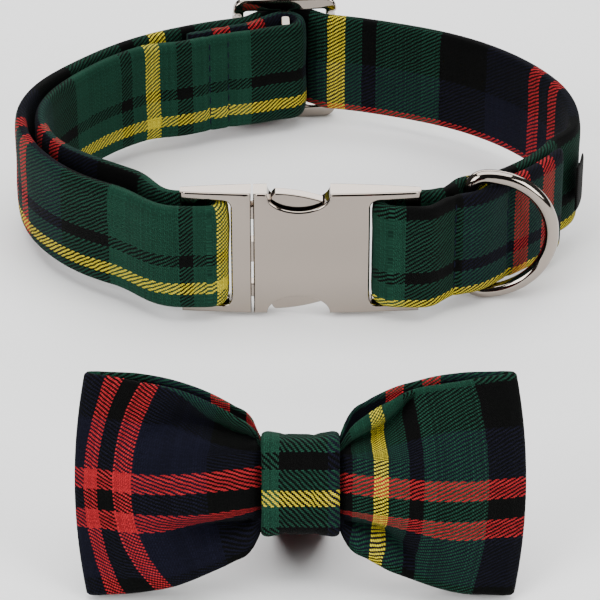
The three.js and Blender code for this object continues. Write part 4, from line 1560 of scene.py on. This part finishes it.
@dataclass
class Stitching:
    """Rows of short stitches, each a small round bar laid on the cloth."""

    length: float = 2.1
    pitch: float = 2.9
    radius: float = 0.19
    sides: int = 8
    rings: int = 7
    margin: float = 2.6
    arch: float = 0.16
    dip: float = 0.12
    blunt: float = 0.02

    def mesh(
        self, name: str, rows: list[tuple[np.ndarray, np.ndarray]], width: float, place: Placer
    ) -> bpy.types.Mesh:
        """Make all the stitches of some upright rows as one mesh.

        Each is a circle swept along a short line whose ends dip into the cloth, and whose radius
        falls to the ends like the square root of one less the square of the way along.

        Args:
            name: the mesh's name.
            rows: for each row, its place in plan and the direction out of the cloth.
            width: of the strap.
            place: the collar's placer.

        Returns:
            The mesh in metres.
        """
        count = int((width - 2 * self.margin) / self.pitch) + 1
        heights = (np.arange(count) - (count - 1) / 2) * self.pitch
        t = np.linspace(-1, 1, self.rings)
        thick = self.radius * np.sqrt(np.clip(1 + self.blunt - t**2, self.blunt, 1))
        lift = self.arch * (1 - t**2) - self.dip
        angle = np.linspace(0, math.tau, self.sides, endpoint=False)
        outwards = lift[:, None] + thick[:, None] * np.sin(angle)[None, :]
        sideways = thick[:, None] * np.cos(angle)[None, :]
        all_points, all_faces = [], []
        i, j = np.meshgrid(np.arange(self.rings - 1), np.arange(self.sides), indexing="ij")
        i, j = i.ravel(), j.ravel()
        turn = (j + 1) % self.sides
        here, beyond = i * self.sides, (i + 1) * self.sides
        wall = np.stack([here + j, here + turn, beyond + turn, beyond + j], 1)
        per_stitch = self.rings * self.sides
        ends = [list(range(self.sides))[::-1], list(range(per_stitch - self.sides, per_stitch))]
        for spot, out in rows:
            aside = left_of(out)
            for height in heights:
                plan = (
                    spot[None, None, :]
                    + out[None, None, :] * outwards[..., None]
                    + aside[None, None, :] * sideways[..., None]
                )
                rise = np.broadcast_to((height + t * self.length / 2)[:, None], plan.shape[:2])
                base = len(all_points) * per_stitch
                all_points.append(np.concatenate([plan, rise[..., None]], 2).reshape(-1, 3))
                all_faces += (wall + base).tolist() + [[k + base for k in end] for end in ends]
        mesh = bpy.data.meshes.new(name)
        mesh.from_pydata(place(np.vstack(all_points)).tolist(), [], all_faces)
        mesh.polygons.foreach_set("use_smooth", [True] * len(mesh.polygons))
        return outward_facing(mesh)


@dataclass(frozen=True)
class WingRow:
    """Edges of one wing at one share of the way out, as shares of the bow's half height.

    Args:
        share: 0 at the knot and 1 at the outer edge.
        top: upper edge of the back layer, which is the wing's outline.
        foot: lower edge of the back layer.
        front_top: upper edge of the front layer, which rolls over below the outline.
        front_foot: lower edge of the front layer.
    """

    share: float
    top: float
    foot: float
    front_top: float
    front_foot: float


@dataclass(frozen=True)
class Pleat:
    """One line of the cloth where the knot gathers it.

    Args:
        cloth: place up the cloth, in millimetres from its lower edge.
        height: where the knot holds it, in millimetres above the bow's middle.
    """

    cloth: float
    height: float


@dataclass(frozen=True)
class Hollow:
    """One point of a hollow between two folds of the front layer.

    Args:
        share: way out from the knot, from 0 to 1.
        height: of its deepest line above the bow's middle, in millimetres.
        depth: below the crown.
        above: how far it reaches upwards.
        below: how far it reaches downwards.
    """

    share: float
    height: float
    depth: float
    above: float
    below: float


@dataclass(frozen=True)
class Wing:
    """One side of the bow tie.

    Args:
        outline: rows of its edges.
        pleats: lines of the cloth at the knot.
        hollows: for each hollow, its points from the knot outwards.
    """

    outline: tuple[WingRow, ...]
    pleats: tuple[Pleat, ...]
    hollows: tuple[tuple[Hollow, ...], ...]

    def edge(self, share: np.ndarray, column: str) -> np.ndarray:
        """Read one edge of the outline, as a share of the half height."""
        rows = [row.share for row in self.outline]
        return flowing(share, rows, [getattr(row, column) for row in self.outline])

    def held(self, cloth: np.ndarray) -> np.ndarray:
        """Height at which the knot holds each line of the cloth."""
        return np.interp(cloth, [row.cloth for row in self.pleats], [row.height for row in self.pleats])

    def sunk(self, share: np.ndarray, height: np.ndarray) -> np.ndarray:
        """Depth of the hollows at a place of the front layer.

        Each hollow falls off from its deepest line like a bell curve, with its own reach upwards
        and downwards.

        Args:
            share: way out from the knot.
            height: above the bow's middle.

        Returns:
            The deepest of the hollows, in millimetres.
        """
        deepest = np.zeros(np.broadcast(share, height).shape)
        for hollow in self.hollows:
            rows = [point.share for point in hollow]
            line, depth, above, below = (
                flowing(share, rows, [getattr(point, name) for point in hollow])
                for name in ("height", "depth", "above", "below")
            )
            off = height - line
            reach = np.where(off > 0, above, below)
            deepest = np.maximum(deepest, depth * bell(off, np.maximum(reach, 0.5)))
        return deepest


LEFT_WING = Wing(
    outline=(
        WingRow(0.0, 0.37, 0.37, 0.36, 0.36),
        WingRow(0.06, 0.555, 0.58, 0.53, 0.55),
        WingRow(0.16, 0.665, 0.685, 0.642, 0.655),
        WingRow(0.28, 0.765, 0.775, 0.742, 0.745),
        WingRow(0.46, 0.875, 0.88, 0.858, 0.86),
        WingRow(0.7, 0.955, 0.945, 0.945, 0.94),
        WingRow(1.0, 1.0, 1.0, 1.0, 1.0),
    ),
    pleats=(
        Pleat(0.0, -8.2), Pleat(2.5, -7.7), Pleat(6.0, -6.0), Pleat(9.0, -5.0), Pleat(12.05, -4.4),
        Pleat(16.15, -3.7), Pleat(20.05, 0.25), Pleat(24.15, 4.6), Pleat(27.4, 7.2), Pleat(29.0, 7.3),
        Pleat(33.0, 7.1), Pleat(38.0, 7.3), Pleat(41.0, 7.6), Pleat(44.3, 8.1),
    ),
    hollows=(
        (
            Hollow(0.0, 9.0, 3.2, 1.0, 0.6), Hollow(0.12, 9.8, 4.6, 2.0, 0.9),
            Hollow(0.28, 11.4, 5.0, 3.4, 1.5),
            Hollow(0.47, 12.6, 4.2, 4.6, 2.4), Hollow(0.7, 10.5, 1.2, 5.0, 3.0),
            Hollow(1.0, 10.0, 0.0, 5.0, 4.0),
        ),
        (
            Hollow(0.0, -6.6, 3.0, 0.9, 1.2), Hollow(0.12, -7.4, 4.2, 1.5, 2.0),
            Hollow(0.28, -7.8, 4.8, 1.8, 3.4),
            Hollow(0.42, -8.0, 3.2, 2.4, 4.0), Hollow(0.6, -9.0, 0.8, 3.0, 4.0),
            Hollow(1.0, -9.0, 0.0, 3.0, 4.0),
        ),
    ),
)
RIGHT_WING = Wing(
    outline=(
        WingRow(0.0, 0.37, 0.37, 0.36, 0.36),
        WingRow(0.06, 0.585, 0.56, 0.52, 0.53),
        WingRow(0.16, 0.71, 0.665, 0.655, 0.63),
        WingRow(0.28, 0.805, 0.775, 0.765, 0.735),
        WingRow(0.46, 0.90, 0.875, 0.875, 0.855),
        WingRow(0.7, 0.963, 0.956, 0.95, 0.95),
        WingRow(1.0, 1.0, 1.0, 1.0, 1.0),
    ),
    pleats=(
        Pleat(0.0, -8.2), Pleat(2.5, -7.8), Pleat(6.0, -6.4), Pleat(9.0, -5.6), Pleat(12.05, -5.1),
        Pleat(16.15, -4.4), Pleat(20.05, -0.9), Pleat(24.15, 3.35), Pleat(27.1, 6.1), Pleat(29.0, 6.3),
        Pleat(33.0, 6.0), Pleat(38.0, 6.4), Pleat(41.0, 6.9), Pleat(44.3, 8.0),
    ),
    hollows=(
        (
            Hollow(0.0, 7.2, 3.2, 0.9, 0.7), Hollow(0.12, 9.2, 4.8, 1.6, 1.5),
            Hollow(0.26, 11.8, 5.2, 2.0, 2.6),
            Hollow(0.38, 15.8, 4.2, 2.2, 4.2), Hollow(0.5, 18.8, 1.8, 3.0, 5.0),
            Hollow(1.0, 20.0, 0.0, 3.0, 5.0),
        ),
        (
            Hollow(0.0, -6.9, 3.0, 0.9, 1.1), Hollow(0.12, -7.8, 4.4, 1.4, 1.8),
            Hollow(0.26, -8.6, 4.8, 1.5, 3.0),
            Hollow(0.35, -11.0, 4.2, 3.0, 5.0), Hollow(0.48, -16.0, 1.8, 5.0, 5.0),
            Hollow(1.0, -20.0, 0.0, 5.0, 5.0),
        ),
    ),
)


BOW_CROWN = ([0, 0.06, 0.2, 0.45, 0.75, 1.0], [2.1, 3.5, 5.0, 5.6, 5.0, 3.0])


@dataclass(frozen=True)
class ColumnPlan:
    """Where the columns of the bow's sett stand, in millimetres from its middle.

    Args:
        stretch: how much faster the sett runs than the width.
        left_gap: gap between the two reds on the left.
        left_bow: how far the left columns bend inwards at the long edges.
        low_shift: how much further in they are at the lower edge, beside the gap.
        squeeze: how much faster the sett runs further out than squeeze_start.
        squeeze_start: distance outside the gap.
        draw: how much slower it runs further in than draw_start.
        draw_start: distance inside the gap.
        right_yellow: yellow on the right.
        right_bow: share by which the right columns bend at the long edges.
        back_left: the same gap on the back layer's left.
        back_right: and on its right.
    """

    stretch: float = 1.026
    left_gap: float = 38.4
    left_bow: float = 5.6
    low_shift: float = 2.9
    squeeze: float = 0.44
    squeeze_start: float = 1.8
    draw: float = 0.2
    draw_start: float = 5.2
    right_yellow: float = 15.9
    right_bow: float = 0.1
    back_left: float = 12.4
    back_right: float = 21.6


def two_faced(
    ring: np.ndarray,
    normal: np.ndarray,
    inset: np.ndarray,
    thickness: float,
    tables: tuple[np.ndarray, np.ndarray],
) -> Grid:
    """Cloth with two faces about a middle surface, rounded at its long edges.

    Args:
        ring: (rows, columns, 3) middle surface, whose last row joins the first.
        normal: directions out of it, of length one.
        inset: (columns,) distance from the nearer long edge.
        thickness: of the cloth.
        tables: the map's two numbers for each column, with the first row once more at the end.

    Returns:
        The closed surface as a grid.
    """
    rounding, thinnest = 0.7, 0.04
    level = np.clip(1 - (1 - np.clip(inset / rounding, 0, 1)) ** 2, thinnest, 1)
    aside = normal * (thickness / 2 * np.sqrt(level))[None, :, None]
    points = np.concatenate([ring + aside, (ring - aside)[:, ::-1]], 1)
    along, across = (np.concatenate([table, table[:, ::-1], table[:, :1]], 1) for table in tables)
    return Grid(points, along, across, close_rows=True)


@dataclass
class BowTie:
    """The bow: a closed band of cloth gathered at its waist, a band round it and an elastic loop.

    Sizes are in millimetres about the bow's own middle, with its front to -Y.
    """

    half_length: float = 41.2
    end_bulge: float = 2.2
    height: float = 44.3
    cloth: float = 1.1
    end_half_depth: float = 1.5
    front_unfolds: float = 0.72
    waist_pinch: float = 0.86
    back_hollow: float = 0.35
    cloth_waves: float = 0.14
    knot_width: float = 15.0
    knot_height: float = 19.2
    knot_flare: float = 0.9
    knot_depth: float = 10.6
    knot_cloth: float = 1.5
    knot_power: float = 0.55
    knot_column: float = 25.1
    knot_yellow_drop: float = 1.6
    rolled_green: float = 5.5
    elastic_width: float = 12.0
    elastic_thickness: float = 1.2
    elastic_height: float = 16.5
    elastic_depth: float = 20.0
    elastic_front: float = 5.65
    elastic_corner: float = 4.5
    gap_line: float = 18.1
    left_gap_lift: float = 1.9
    rows_half_repeat: float = 46.2
    columns_half_repeat: float = 47.65
    column_plan: ColumnPlan = ColumnPlan()

    def _wings(self, sweep: np.ndarray, cloth: np.ndarray, face: np.ndarray) -> np.ndarray:
        """Middle surface of the cloth.

        Beside the knot each line of the cloth lies where the pleats hold it, and further out it
        eases to an even upright plane, the edges first. The layers stand apart by the crown, and
        the front one sinks into the hollows.

        Args:
            sweep: 0 at the left edge to 1 at the right one.
            cloth: place up the cloth.
            face: 1 on the front layer and -1 on the back one.

        Returns:
            (..., 3) points.
        """
        across = np.sin(math.pi * (sweep - 0.5))
        span = np.abs(across)
        knot = self.knot_width / 2 / self.half_length
        share = np.clip((span - knot) / (1 - knot), 0, 1)
        half = self.height / 2
        level = (cloth - half) / half
        left, front = across < 0, face > 0

        def sided(read: Callable[[Wing], np.ndarray]) -> np.ndarray:
            """Read something of the wing that each point belongs to."""
            return np.where(left, read(LEFT_WING), read(RIGHT_WING))

        top, foot, front_top, front_foot = (
            sided(lambda wing, column=column: wing.edge(share, column))
            for column in ("top", "foot", "front_top", "front_foot")
        )
        upper = smooth((level + 0.4) / 0.8)
        rise = foot + (top - foot) * upper
        front_rise = front_foot + (front_top - front_foot) * upper
        rise = np.where(front, front_rise, rise)
        narrow = sided(lambda wing: wing.edge(np.zeros_like(share), "front_top"))
        unfolded = np.clip((rise - narrow) / (1 - narrow), 0, 1)
        inner = np.where(front, smooth(share / self.front_unfolds), unfolded)
        edge_weight = smooth((np.abs(level) - 0.4) / 0.6)
        unfolded = inner + (unfolded - inner) * edge_weight
        held = sided(lambda wing: wing.held(cloth))
        inside = np.clip(span / knot, 0, 1) ** 2
        held = held * (self.waist_pinch + (1 - self.waist_pinch) * inside)
        z = held * (1 - unfolded) + level * half * unfolded
        x = across * (self.half_length + self.end_bulge * (1 - level**2) * span**4)

        crown = flowing(share, *BOW_CROWN)
        plain = crown * (1 - 0.35 * level**2 * smooth(share * 4))
        ends = smooth((share - 0.7) / 0.3)
        plain = plain + (self.end_half_depth - plain) * ends
        hollow = sided(lambda wing: wing.sunk(share, z)) * smooth(0.1 + share * 12)
        fold = np.where(front, hollow, self.back_hollow * hollow)
        soft = self.cloth_waves * ripple(x + 90 * face, z, 13, 5) * np.clip(share * 6, 0, 1)
        closing = np.clip(np.sqrt(np.clip(1 - span**2, 0, 1)) / 0.3, 0, 1)
        away = (plain - fold + soft) * closing
        y = -face * np.maximum(away, 0.15 * closing)
        return np.stack([x, y, z], -1)

    def _along(self, x: np.ndarray, cloth: np.ndarray, front: np.ndarray) -> np.ndarray:
        """Place in the columns' sett.

        The columns bend inwards to both long edges by the square of the height. On the front's left
        they count from the gap between the two reds, outside which the sett runs faster, and on its
        right from the yellow. The back layer's columns are straight.

        Args:
            x: across the bow.
            cloth: place up the cloth.
            front: whether the point is on the front layer.

        Returns:
            Millimetres of the sett.
        """
        plan = self.column_plan
        level = (cloth - self.height / 2) / (self.height / 2)
        far = plan.stretch * np.abs(x)
        off = far - plan.left_gap + plan.left_bow * level**2 * smooth((far - 6) / 24)
        off = off + plan.low_shift * np.clip(-level, 0, 1) ** 2 * smooth(-off / 2.5)
        outer = plan.squeeze * (1 - level**2) * np.clip(off - plan.squeeze_start, 0, None)
        inner = plan.draw * np.clip(-plan.draw_start - off, 0, None)
        left = self.columns_half_repeat + off + outer + inner
        right = far - plan.right_yellow + plan.right_bow * (far - 2) * level**2
        face = np.where(x < 0, left, right)
        back = self.columns_half_repeat + np.where(x < 0, x + plan.back_left, x - plan.back_right)
        return np.where(front, face, back)

    def _rolled(self, x: np.ndarray, cloth: np.ndarray) -> np.ndarray:
        """How much more of the green the rolled upper edge shows: most at a sixth of the way out."""
        share = (np.abs(x) - self.knot_width / 2) / (self.half_length - self.knot_width / 2)
        return bell(share - 0.16, 0.2) * smooth((cloth - 33) / 9)

    def wings(self, place: Placer) -> bpy.types.Mesh:
        """Both wings as one closed band of cloth, thickened to both sides.

        Args:
            place: the bow's placer.

        Returns:
            The mesh in metres.
        """
        columns, rows = 440, 90
        turn = np.arange(columns + 1) / columns
        sweep = np.where(turn < 0.5, turn * 2, 2 - turn * 2)
        face = np.where((turn < 0.5) | (turn == 1), 1.0, -1.0)
        cloth = np.linspace(0, self.height, rows + 1)
        grid_sweep, grid_cloth = np.meshgrid(sweep, cloth, indexing="ij")
        grid_face = np.broadcast_to(face[:, None], grid_sweep.shape)
        middle = self._wings(grid_sweep, grid_cloth, grid_face)
        ring = middle[:-1]
        normal = unit(np.cross(round_about(ring), np.gradient(ring, axis=1)))
        inset = np.minimum(np.arange(rows + 1), np.arange(rows + 1)[::-1]) * self.height / rows
        x, front = middle[..., 0], grid_face > 0
        lift_start, lift_run = 8.0, 33.0
        lifted = self.left_gap_lift * smooth(np.clip(-x - lift_start, 0, None) / lift_run)
        line = self.gap_line + lifted * front - self.rolled_green * self._rolled(x, grid_cloth) * front
        across = self.rows_half_repeat - (grid_cloth - line)
        tables = (self._along(x, grid_cloth, front), across)
        return two_faced(ring, normal, inset, self.cloth, tables).mesh("bow_wings_cloth", place)

    def knot(self, place: Placer) -> bpy.types.Mesh:
        """The band round the waist, a superellipse in section, higher at its side edges.

        Two soft vertical folds run over it, and its sides roll in.

        Args:
            place: the bow's placer.

        Returns:
            The mesh in metres.
        """
        turns, rows = 200, 44
        angle = math.pi - math.tau * np.arange(turns + 1) / turns
        width = np.linspace(-1, 1, rows + 1)
        a, w = np.meshgrid(angle, width, indexing="ij")
        depth = self.knot_depth / 2 - self.knot_cloth / 2 + 0.1
        height = self.knot_height / 2 - self.knot_cloth / 2 + self.knot_flare * w**2
        y = -depth * signed_power(np.cos(a), self.knot_power)
        z = height * signed_power(np.sin(a), self.knot_power)
        crease = 0.22 * bell(w - 0.35, 0.12) + 0.16 * bell(w + 0.42, 0.1)
        roll = 0.9 * np.clip((np.abs(w) - 0.8) / 0.2, 0, 1) ** 2
        away = np.hypot(y, z)
        shrink = 1 - (crease * (1 + 0.4 * ripple(w * 6, a * 5, 9, 7)) + roll) / away
        x = w * self.knot_width / 2 * (1 + 0.012 * ripple(a * 4, w, 7, 8))
        middle = np.stack([x, y * shrink, z * shrink], -1)
        ring = middle[:-1]
        normal = unit(np.cross(np.gradient(ring, axis=1), round_about(ring)))
        normal *= np.sign(np.sum(normal[..., 1:] * ring[..., 1:], -1, keepdims=True))
        inset = (1 - np.abs(width)) * self.knot_width / 2
        step = np.linalg.norm(np.diff(middle, axis=0), axis=-1)
        way = np.concatenate([np.zeros((1, rows + 1)), np.cumsum(step, 0)])
        tables = (-(self.knot_column + x), way - way[turns // 2] - self.knot_yellow_drop)
        band = two_faced(ring, normal, inset, self.knot_cloth, tables)
        return outward_facing(band.mesh("bow_knot_cloth", place))

    def elastic(self, place: Placer) -> bpy.types.Mesh:
        """The slack loop behind the knot: a rounded rectangle of flat elastic that sags to the floor.

        Each point falls in proportion to its distance behind the knot, by the slope at which the
        lowest point of the outer outline just reaches the floor.

        Args:
            place: the bow's placer.

        Returns:
            The mesh in metres.
        """
        half, inset = self.elastic_height / 2, self.elastic_thickness / 2
        back = self.elastic_front + self.elastic_depth
        lean = math.radians(place.lean)
        outer = rounded_outline(self.elastic_front, back, -half, half, self.elastic_corner, 16)
        outer = outer[outer[:, 0] > self.elastic_front + self.elastic_depth / 2]
        above = outer[:, 1] * math.cos(lean) - outer[:, 0] * math.sin(lean) + place.origin[2]
        slope = np.min(above / ((outer[:, 0] - self.elastic_front) * math.cos(lean)))
        near, far, corner = self.elastic_front + inset, back - inset, self.elastic_corner - inset
        route = rounded_outline(near, far, inset - half, half - inset, corner, 16)
        route[:, 1] -= slope * (route[:, 0] - self.elastic_front)
        turns, sides = 240, 40
        line, length = evenly(route, turns)
        aside = -left_of(unit(round_about(line)))
        thin, broad = flat_section(sides, face_power=3.5, edge_power=12)
        plan = line[:, None, :] + aside[:, None, :] * (thin[:-1] * self.elastic_thickness / 2)[None, :, None]
        x = np.broadcast_to(broad[None, :-1] * self.elastic_width / 2, plan.shape[:2])
        points = np.stack([x, plan[..., 0], plan[..., 1]], -1)
        along = np.repeat(np.linspace(0, length, turns + 1)[:, None], sides + 1, 1)
        across = np.broadcast_to(broad[None, :] * self.elastic_width / 2, along.shape)
        return outward_facing(Grid(points, along, across, close_rows=True).mesh("bow_elastic_band", place))


def outward_facing(mesh: bpy.types.Mesh) -> bpy.types.Mesh:
    """Turn all faces of a closed mesh outwards."""
    work = bmesh.new()
    work.from_mesh(mesh)
    bmesh.ops.recalc_face_normals(work, faces=work.faces)
    work.to_mesh(mesh)
    work.free()
    return mesh


@dataclass
class Collar:
    """The collar: strap, buckle, slider, D-ring, label and stitches."""

    place: Placer
    strap: Strap = field(default_factory=Strap)
    buckle: Buckle = field(default_factory=Buckle)
    slider: Slider = field(default_factory=Slider)
    ring: DRing = field(default_factory=DRing)
    label: Ribbon = field(default_factory=lambda: Ribbon(7.0, 11.4, 0.7, station=78.7, depth=-0.6))
    stitch_depth: float = 0.55

    def build(self, cloth: bpy.types.Material, metal: bpy.types.Material) -> None:
        """Build and dress every piece of the collar.

        Args:
            cloth: the strap's material.
            metal: the hardware's.
        """
        self._strap(cloth)
        self._hardware(metal)
        self._trim()

    def _strap(self, cloth: bpy.types.Material) -> None:
        """The strap's folded cloth."""
        grid = self.strap.grid()
        mesh = outward_facing(grid.mesh("strap_cloth", self.place))
        piece = add_piece("strap_cloth", mesh, cloth, Body.COLLAR, Slot.TARTAN, ("strap",))

    def _hardware(self, metal: bpy.types.Material) -> None:
        """Buckle, slider and D-ring."""
        loop, station = self.strap.loop, self.strap.slider_station()
        pieces = [
            ("buckle_housing_metal", self.buckle.housing(), "buckle_housing"),
            ("buckle_clip_metal", self.buckle.clip(), "buckle_clip"),
            ("slider_metal", self.slider.mesh(loop, station), "slider"),
        ]
        for name, mesh, node in pieces:
            mesh.name = name
            add_piece(name, moved(mesh, self.place), metal, Body.COLLAR, Slot.NICKEL, (node,))
            LOG.info("%s: %d faces", name, len(mesh.polygons))
        ring_at = (self.strap.ring_station, self.strap.ring_depth)
        wire = outward_facing(self.ring.mesh(loop, *ring_at, self.place))
        add_piece("d_ring_wire", wire, metal, Body.RING, Slot.NICKEL, ("d_ring",))
        LOG.info("d_ring_wire: %d faces", len(wire.polygons))

    def _trim(self) -> None:
        """Label and stitches."""
        black = RibbedWeb("label_tape", (0.0035, 0.003, 0.0026), 0.5).material()
        mesh = outward_facing(self.label.grid(self.strap.loop).mesh("label_tape", self.place))
        add_piece("label_tape", mesh, black, Body.COLLAR, Slot.LABEL, ("label_tab",))
        rows = self._stitch_rows()
        thread = SewingThread().material()
        stitches = Stitching().mesh("strap_stitches", rows, self.strap.width, self.place)
        add_piece("strap_stitches", stitches, thread, Body.COLLAR, Slot.TARTAN)
        LOG.info("stitches: %d rows", len(rows))

    def _stitch_rows(self) -> list[tuple[np.ndarray, np.ndarray]]:
        """Places of the rows of stitches on the faces of the strap that show them."""
        route, strap = self.strap.route(), self.strap
        aside = left_of(unit(np.gradient(route.points, axis=0)))
        middle = route.points.mean(0)
        faces = [
            (strap.stitch_rows, Stretch.FOLDED_BACK, 1),
            (strap.stitch_rows, Stretch.INNER_RIGHT, -1),
            (strap.tail_stitch_rows, Stretch.INNER_LEFT, -1),
            (strap.tail_stitch_rows, Stretch.OUTER_LEFT, 1),
        ]
        rows = []
        for stations, stretch, outside in faces:
            inside = np.flatnonzero(route.stretch == stretch.value)
            for station in stations:
                spot = inside[np.argmin(np.abs(route.along[inside] - station))]
                away = np.sign(np.dot(aside[spot], route.points[spot] - middle)) * outside
                out = aside[spot] * away
                surface = strap.thickness / 2 * self.stitch_depth
                rows.append((route.points[spot] + out * surface, out))
        return rows


@dataclass
class Studio:
    """Pale floor, soft lights and the camera.

    Sizes are in metres of the frame.
    """

    camera_at: tuple[float, float, float] = (-0.0005, -0.5921, 0.3691)
    look_at: tuple[float, float, float] = (-0.0005, 0.005, 0.00375)
    focal_pixels: float = 3124.0
    image_pixels: float = 600.0
    sensor: float = 36.0
    sky_front: float = 0.6
    sky_back: float = 1.8

    def camera(self) -> None:
        """Camera at the photo's angle, with the lens that its perspective shows."""
        data = bpy.data.cameras.new("camera")
        data.sensor_width = self.sensor
        data.lens = self.focal_pixels / self.image_pixels * self.sensor
        data.clip_start, data.clip_end = 0.01, 50
        camera = link("camera", data)
        camera.location = self.camera_at
        aim = Vector(self.look_at) - Vector(self.camera_at)
        camera.rotation_euler = aim.to_track_quat("-Z", "Y").to_euler()
        bpy.context.scene.camera = camera

    def floor(self) -> None:
        """A wide pale floor."""
        mesh = bpy.data.meshes.new("floor")
        side = 4.0
        corners = [(-side, -side, 0), (side, -side, 0), (side, side, 0), (-side, side, 0)]
        mesh.from_pydata(corners, [], [[0, 1, 2, 3]])
        graph = Graph("pale_floor")
        graph.surface(Base_Color=(0.93, 0.93, 0.93, 1.0), Roughness=0.9, Specular_IOR_Level=0.1)
        mesh.materials.append(graph.material)
        link("floor", mesh)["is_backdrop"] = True

    def lamp(self, name: str, place: tuple, size: tuple, power: float, colour: tuple = (1, 1, 1)) -> None:
        """A rectangular soft box aimed at the collar."""
        data = bpy.data.lights.new(name, "AREA")
        data.shape = "RECTANGLE"
        data.size, data.size_y = size
        data.energy, data.color = power, colour
        lamp = link(name, data)
        lamp.location = place
        aim = Vector((0, -0.02, 0.01)) - Vector(place)
        lamp.rotation_euler = aim.to_track_quat("-Z", "Y").to_euler()

    def build(self) -> None:
        """Set up the stage."""
        self.camera()
        self.floor()
        self.lamp("overhead", (0.0, 0.1, 1.4), (1.8, 1.4), 34)
        self.lamp("behind", (0.0, 1.7, 1.05), (2.6, 0.8), 34)
        self.lamp("front_left", (-1.1, -1.0, 0.9), (1.0, 0.9), 24)
        self.lamp("front_right", (1.2, -0.8, 0.7), (0.8, 0.9), 17)
        self.sky()

    def sky(self) -> None:
        """Soft light from all round, dimmer on the camera's side so that the metal shows dark edges."""
        world = bpy.data.worlds.new("studio")
        world.use_nodes = True
        tree = world.node_tree
        shade = tree.nodes["Background"]
        way = tree.nodes.new("ShaderNodeTexCoord").outputs["Generated"]
        split = tree.nodes.new("ShaderNodeSeparateXYZ")
        tree.links.new(way, split.inputs[0])
        fade = tree.nodes.new("ShaderNodeMapRange")
        tree.links.new(split.outputs[1], fade.inputs[0])
        for socket, value in zip(fade.inputs[1:5], (-0.75, 0.5, self.sky_front, self.sky_back)):
            socket.default_value = value
        tree.links.new(fade.outputs[0], shade.inputs[1])
        bpy.context.scene.world = world


def plain(box: object) -> list:
    """A box of bounds as plain lists of numbers."""
    return [[float(value) for value in corner] for corner in box]


def main() -> None:
    """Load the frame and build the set."""
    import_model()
    before = plain(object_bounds())
    Studio().build()
    low, high = (np.array(corner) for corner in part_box("buckle_housing"))
    buckle = Buckle()
    collar_origin = np.array([
        high[0] / MM - buckle.half_length,
        low[1] / MM - buckle.front,
        (low[2] + high[2]) / 2 / MM,
    ])
    collar = Collar(Placer(collar_origin))
    cloth = Twill("collar_tartan", COLLAR_CROSSWISE, COLLAR_LENGTHWISE).material()
    collar.build(cloth, PolishedNickel().material())
    LOG.info("collar built")

    bow = BowTie()
    low, high = (np.array(corner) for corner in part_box("bow_knot"))
    place = Placer((low + high) / 2 / MM, lean=22.0)
    cloth = Twill("bow_tartan", BOW_COLUMNS, BOW_ROWS, 0.41, 0.19, 0.06).material()
    band = Twill("knot_tartan", BOW_COLUMNS, BOW_ROWS, 0.29, 0.29, 0.06).material()
    wings = add_piece("bow_wings_cloth", bow.wings(place), cloth, Body.COLLAR, Slot.TARTAN, ("bow_wings",))
    knot = add_piece("bow_knot_cloth", bow.knot(place), band, Body.COLLAR, Slot.TARTAN, ("bow_knot",))
    web = RibbedWeb("black_elastic", (0.01, 0.01, 0.01), 0.9).material()
    add_piece("bow_elastic_band", bow.elastic(place), web, Body.COLLAR, Slot.ELASTIC, ("bow_elastic",))
    LOG.info("bow tie built")

    {"frame": before, "visual": plain(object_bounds())}


if __name__ == "__main__":
    logging.basicConfig(level=logging.INFO, format="%(name)s: %(message)s")
    main()
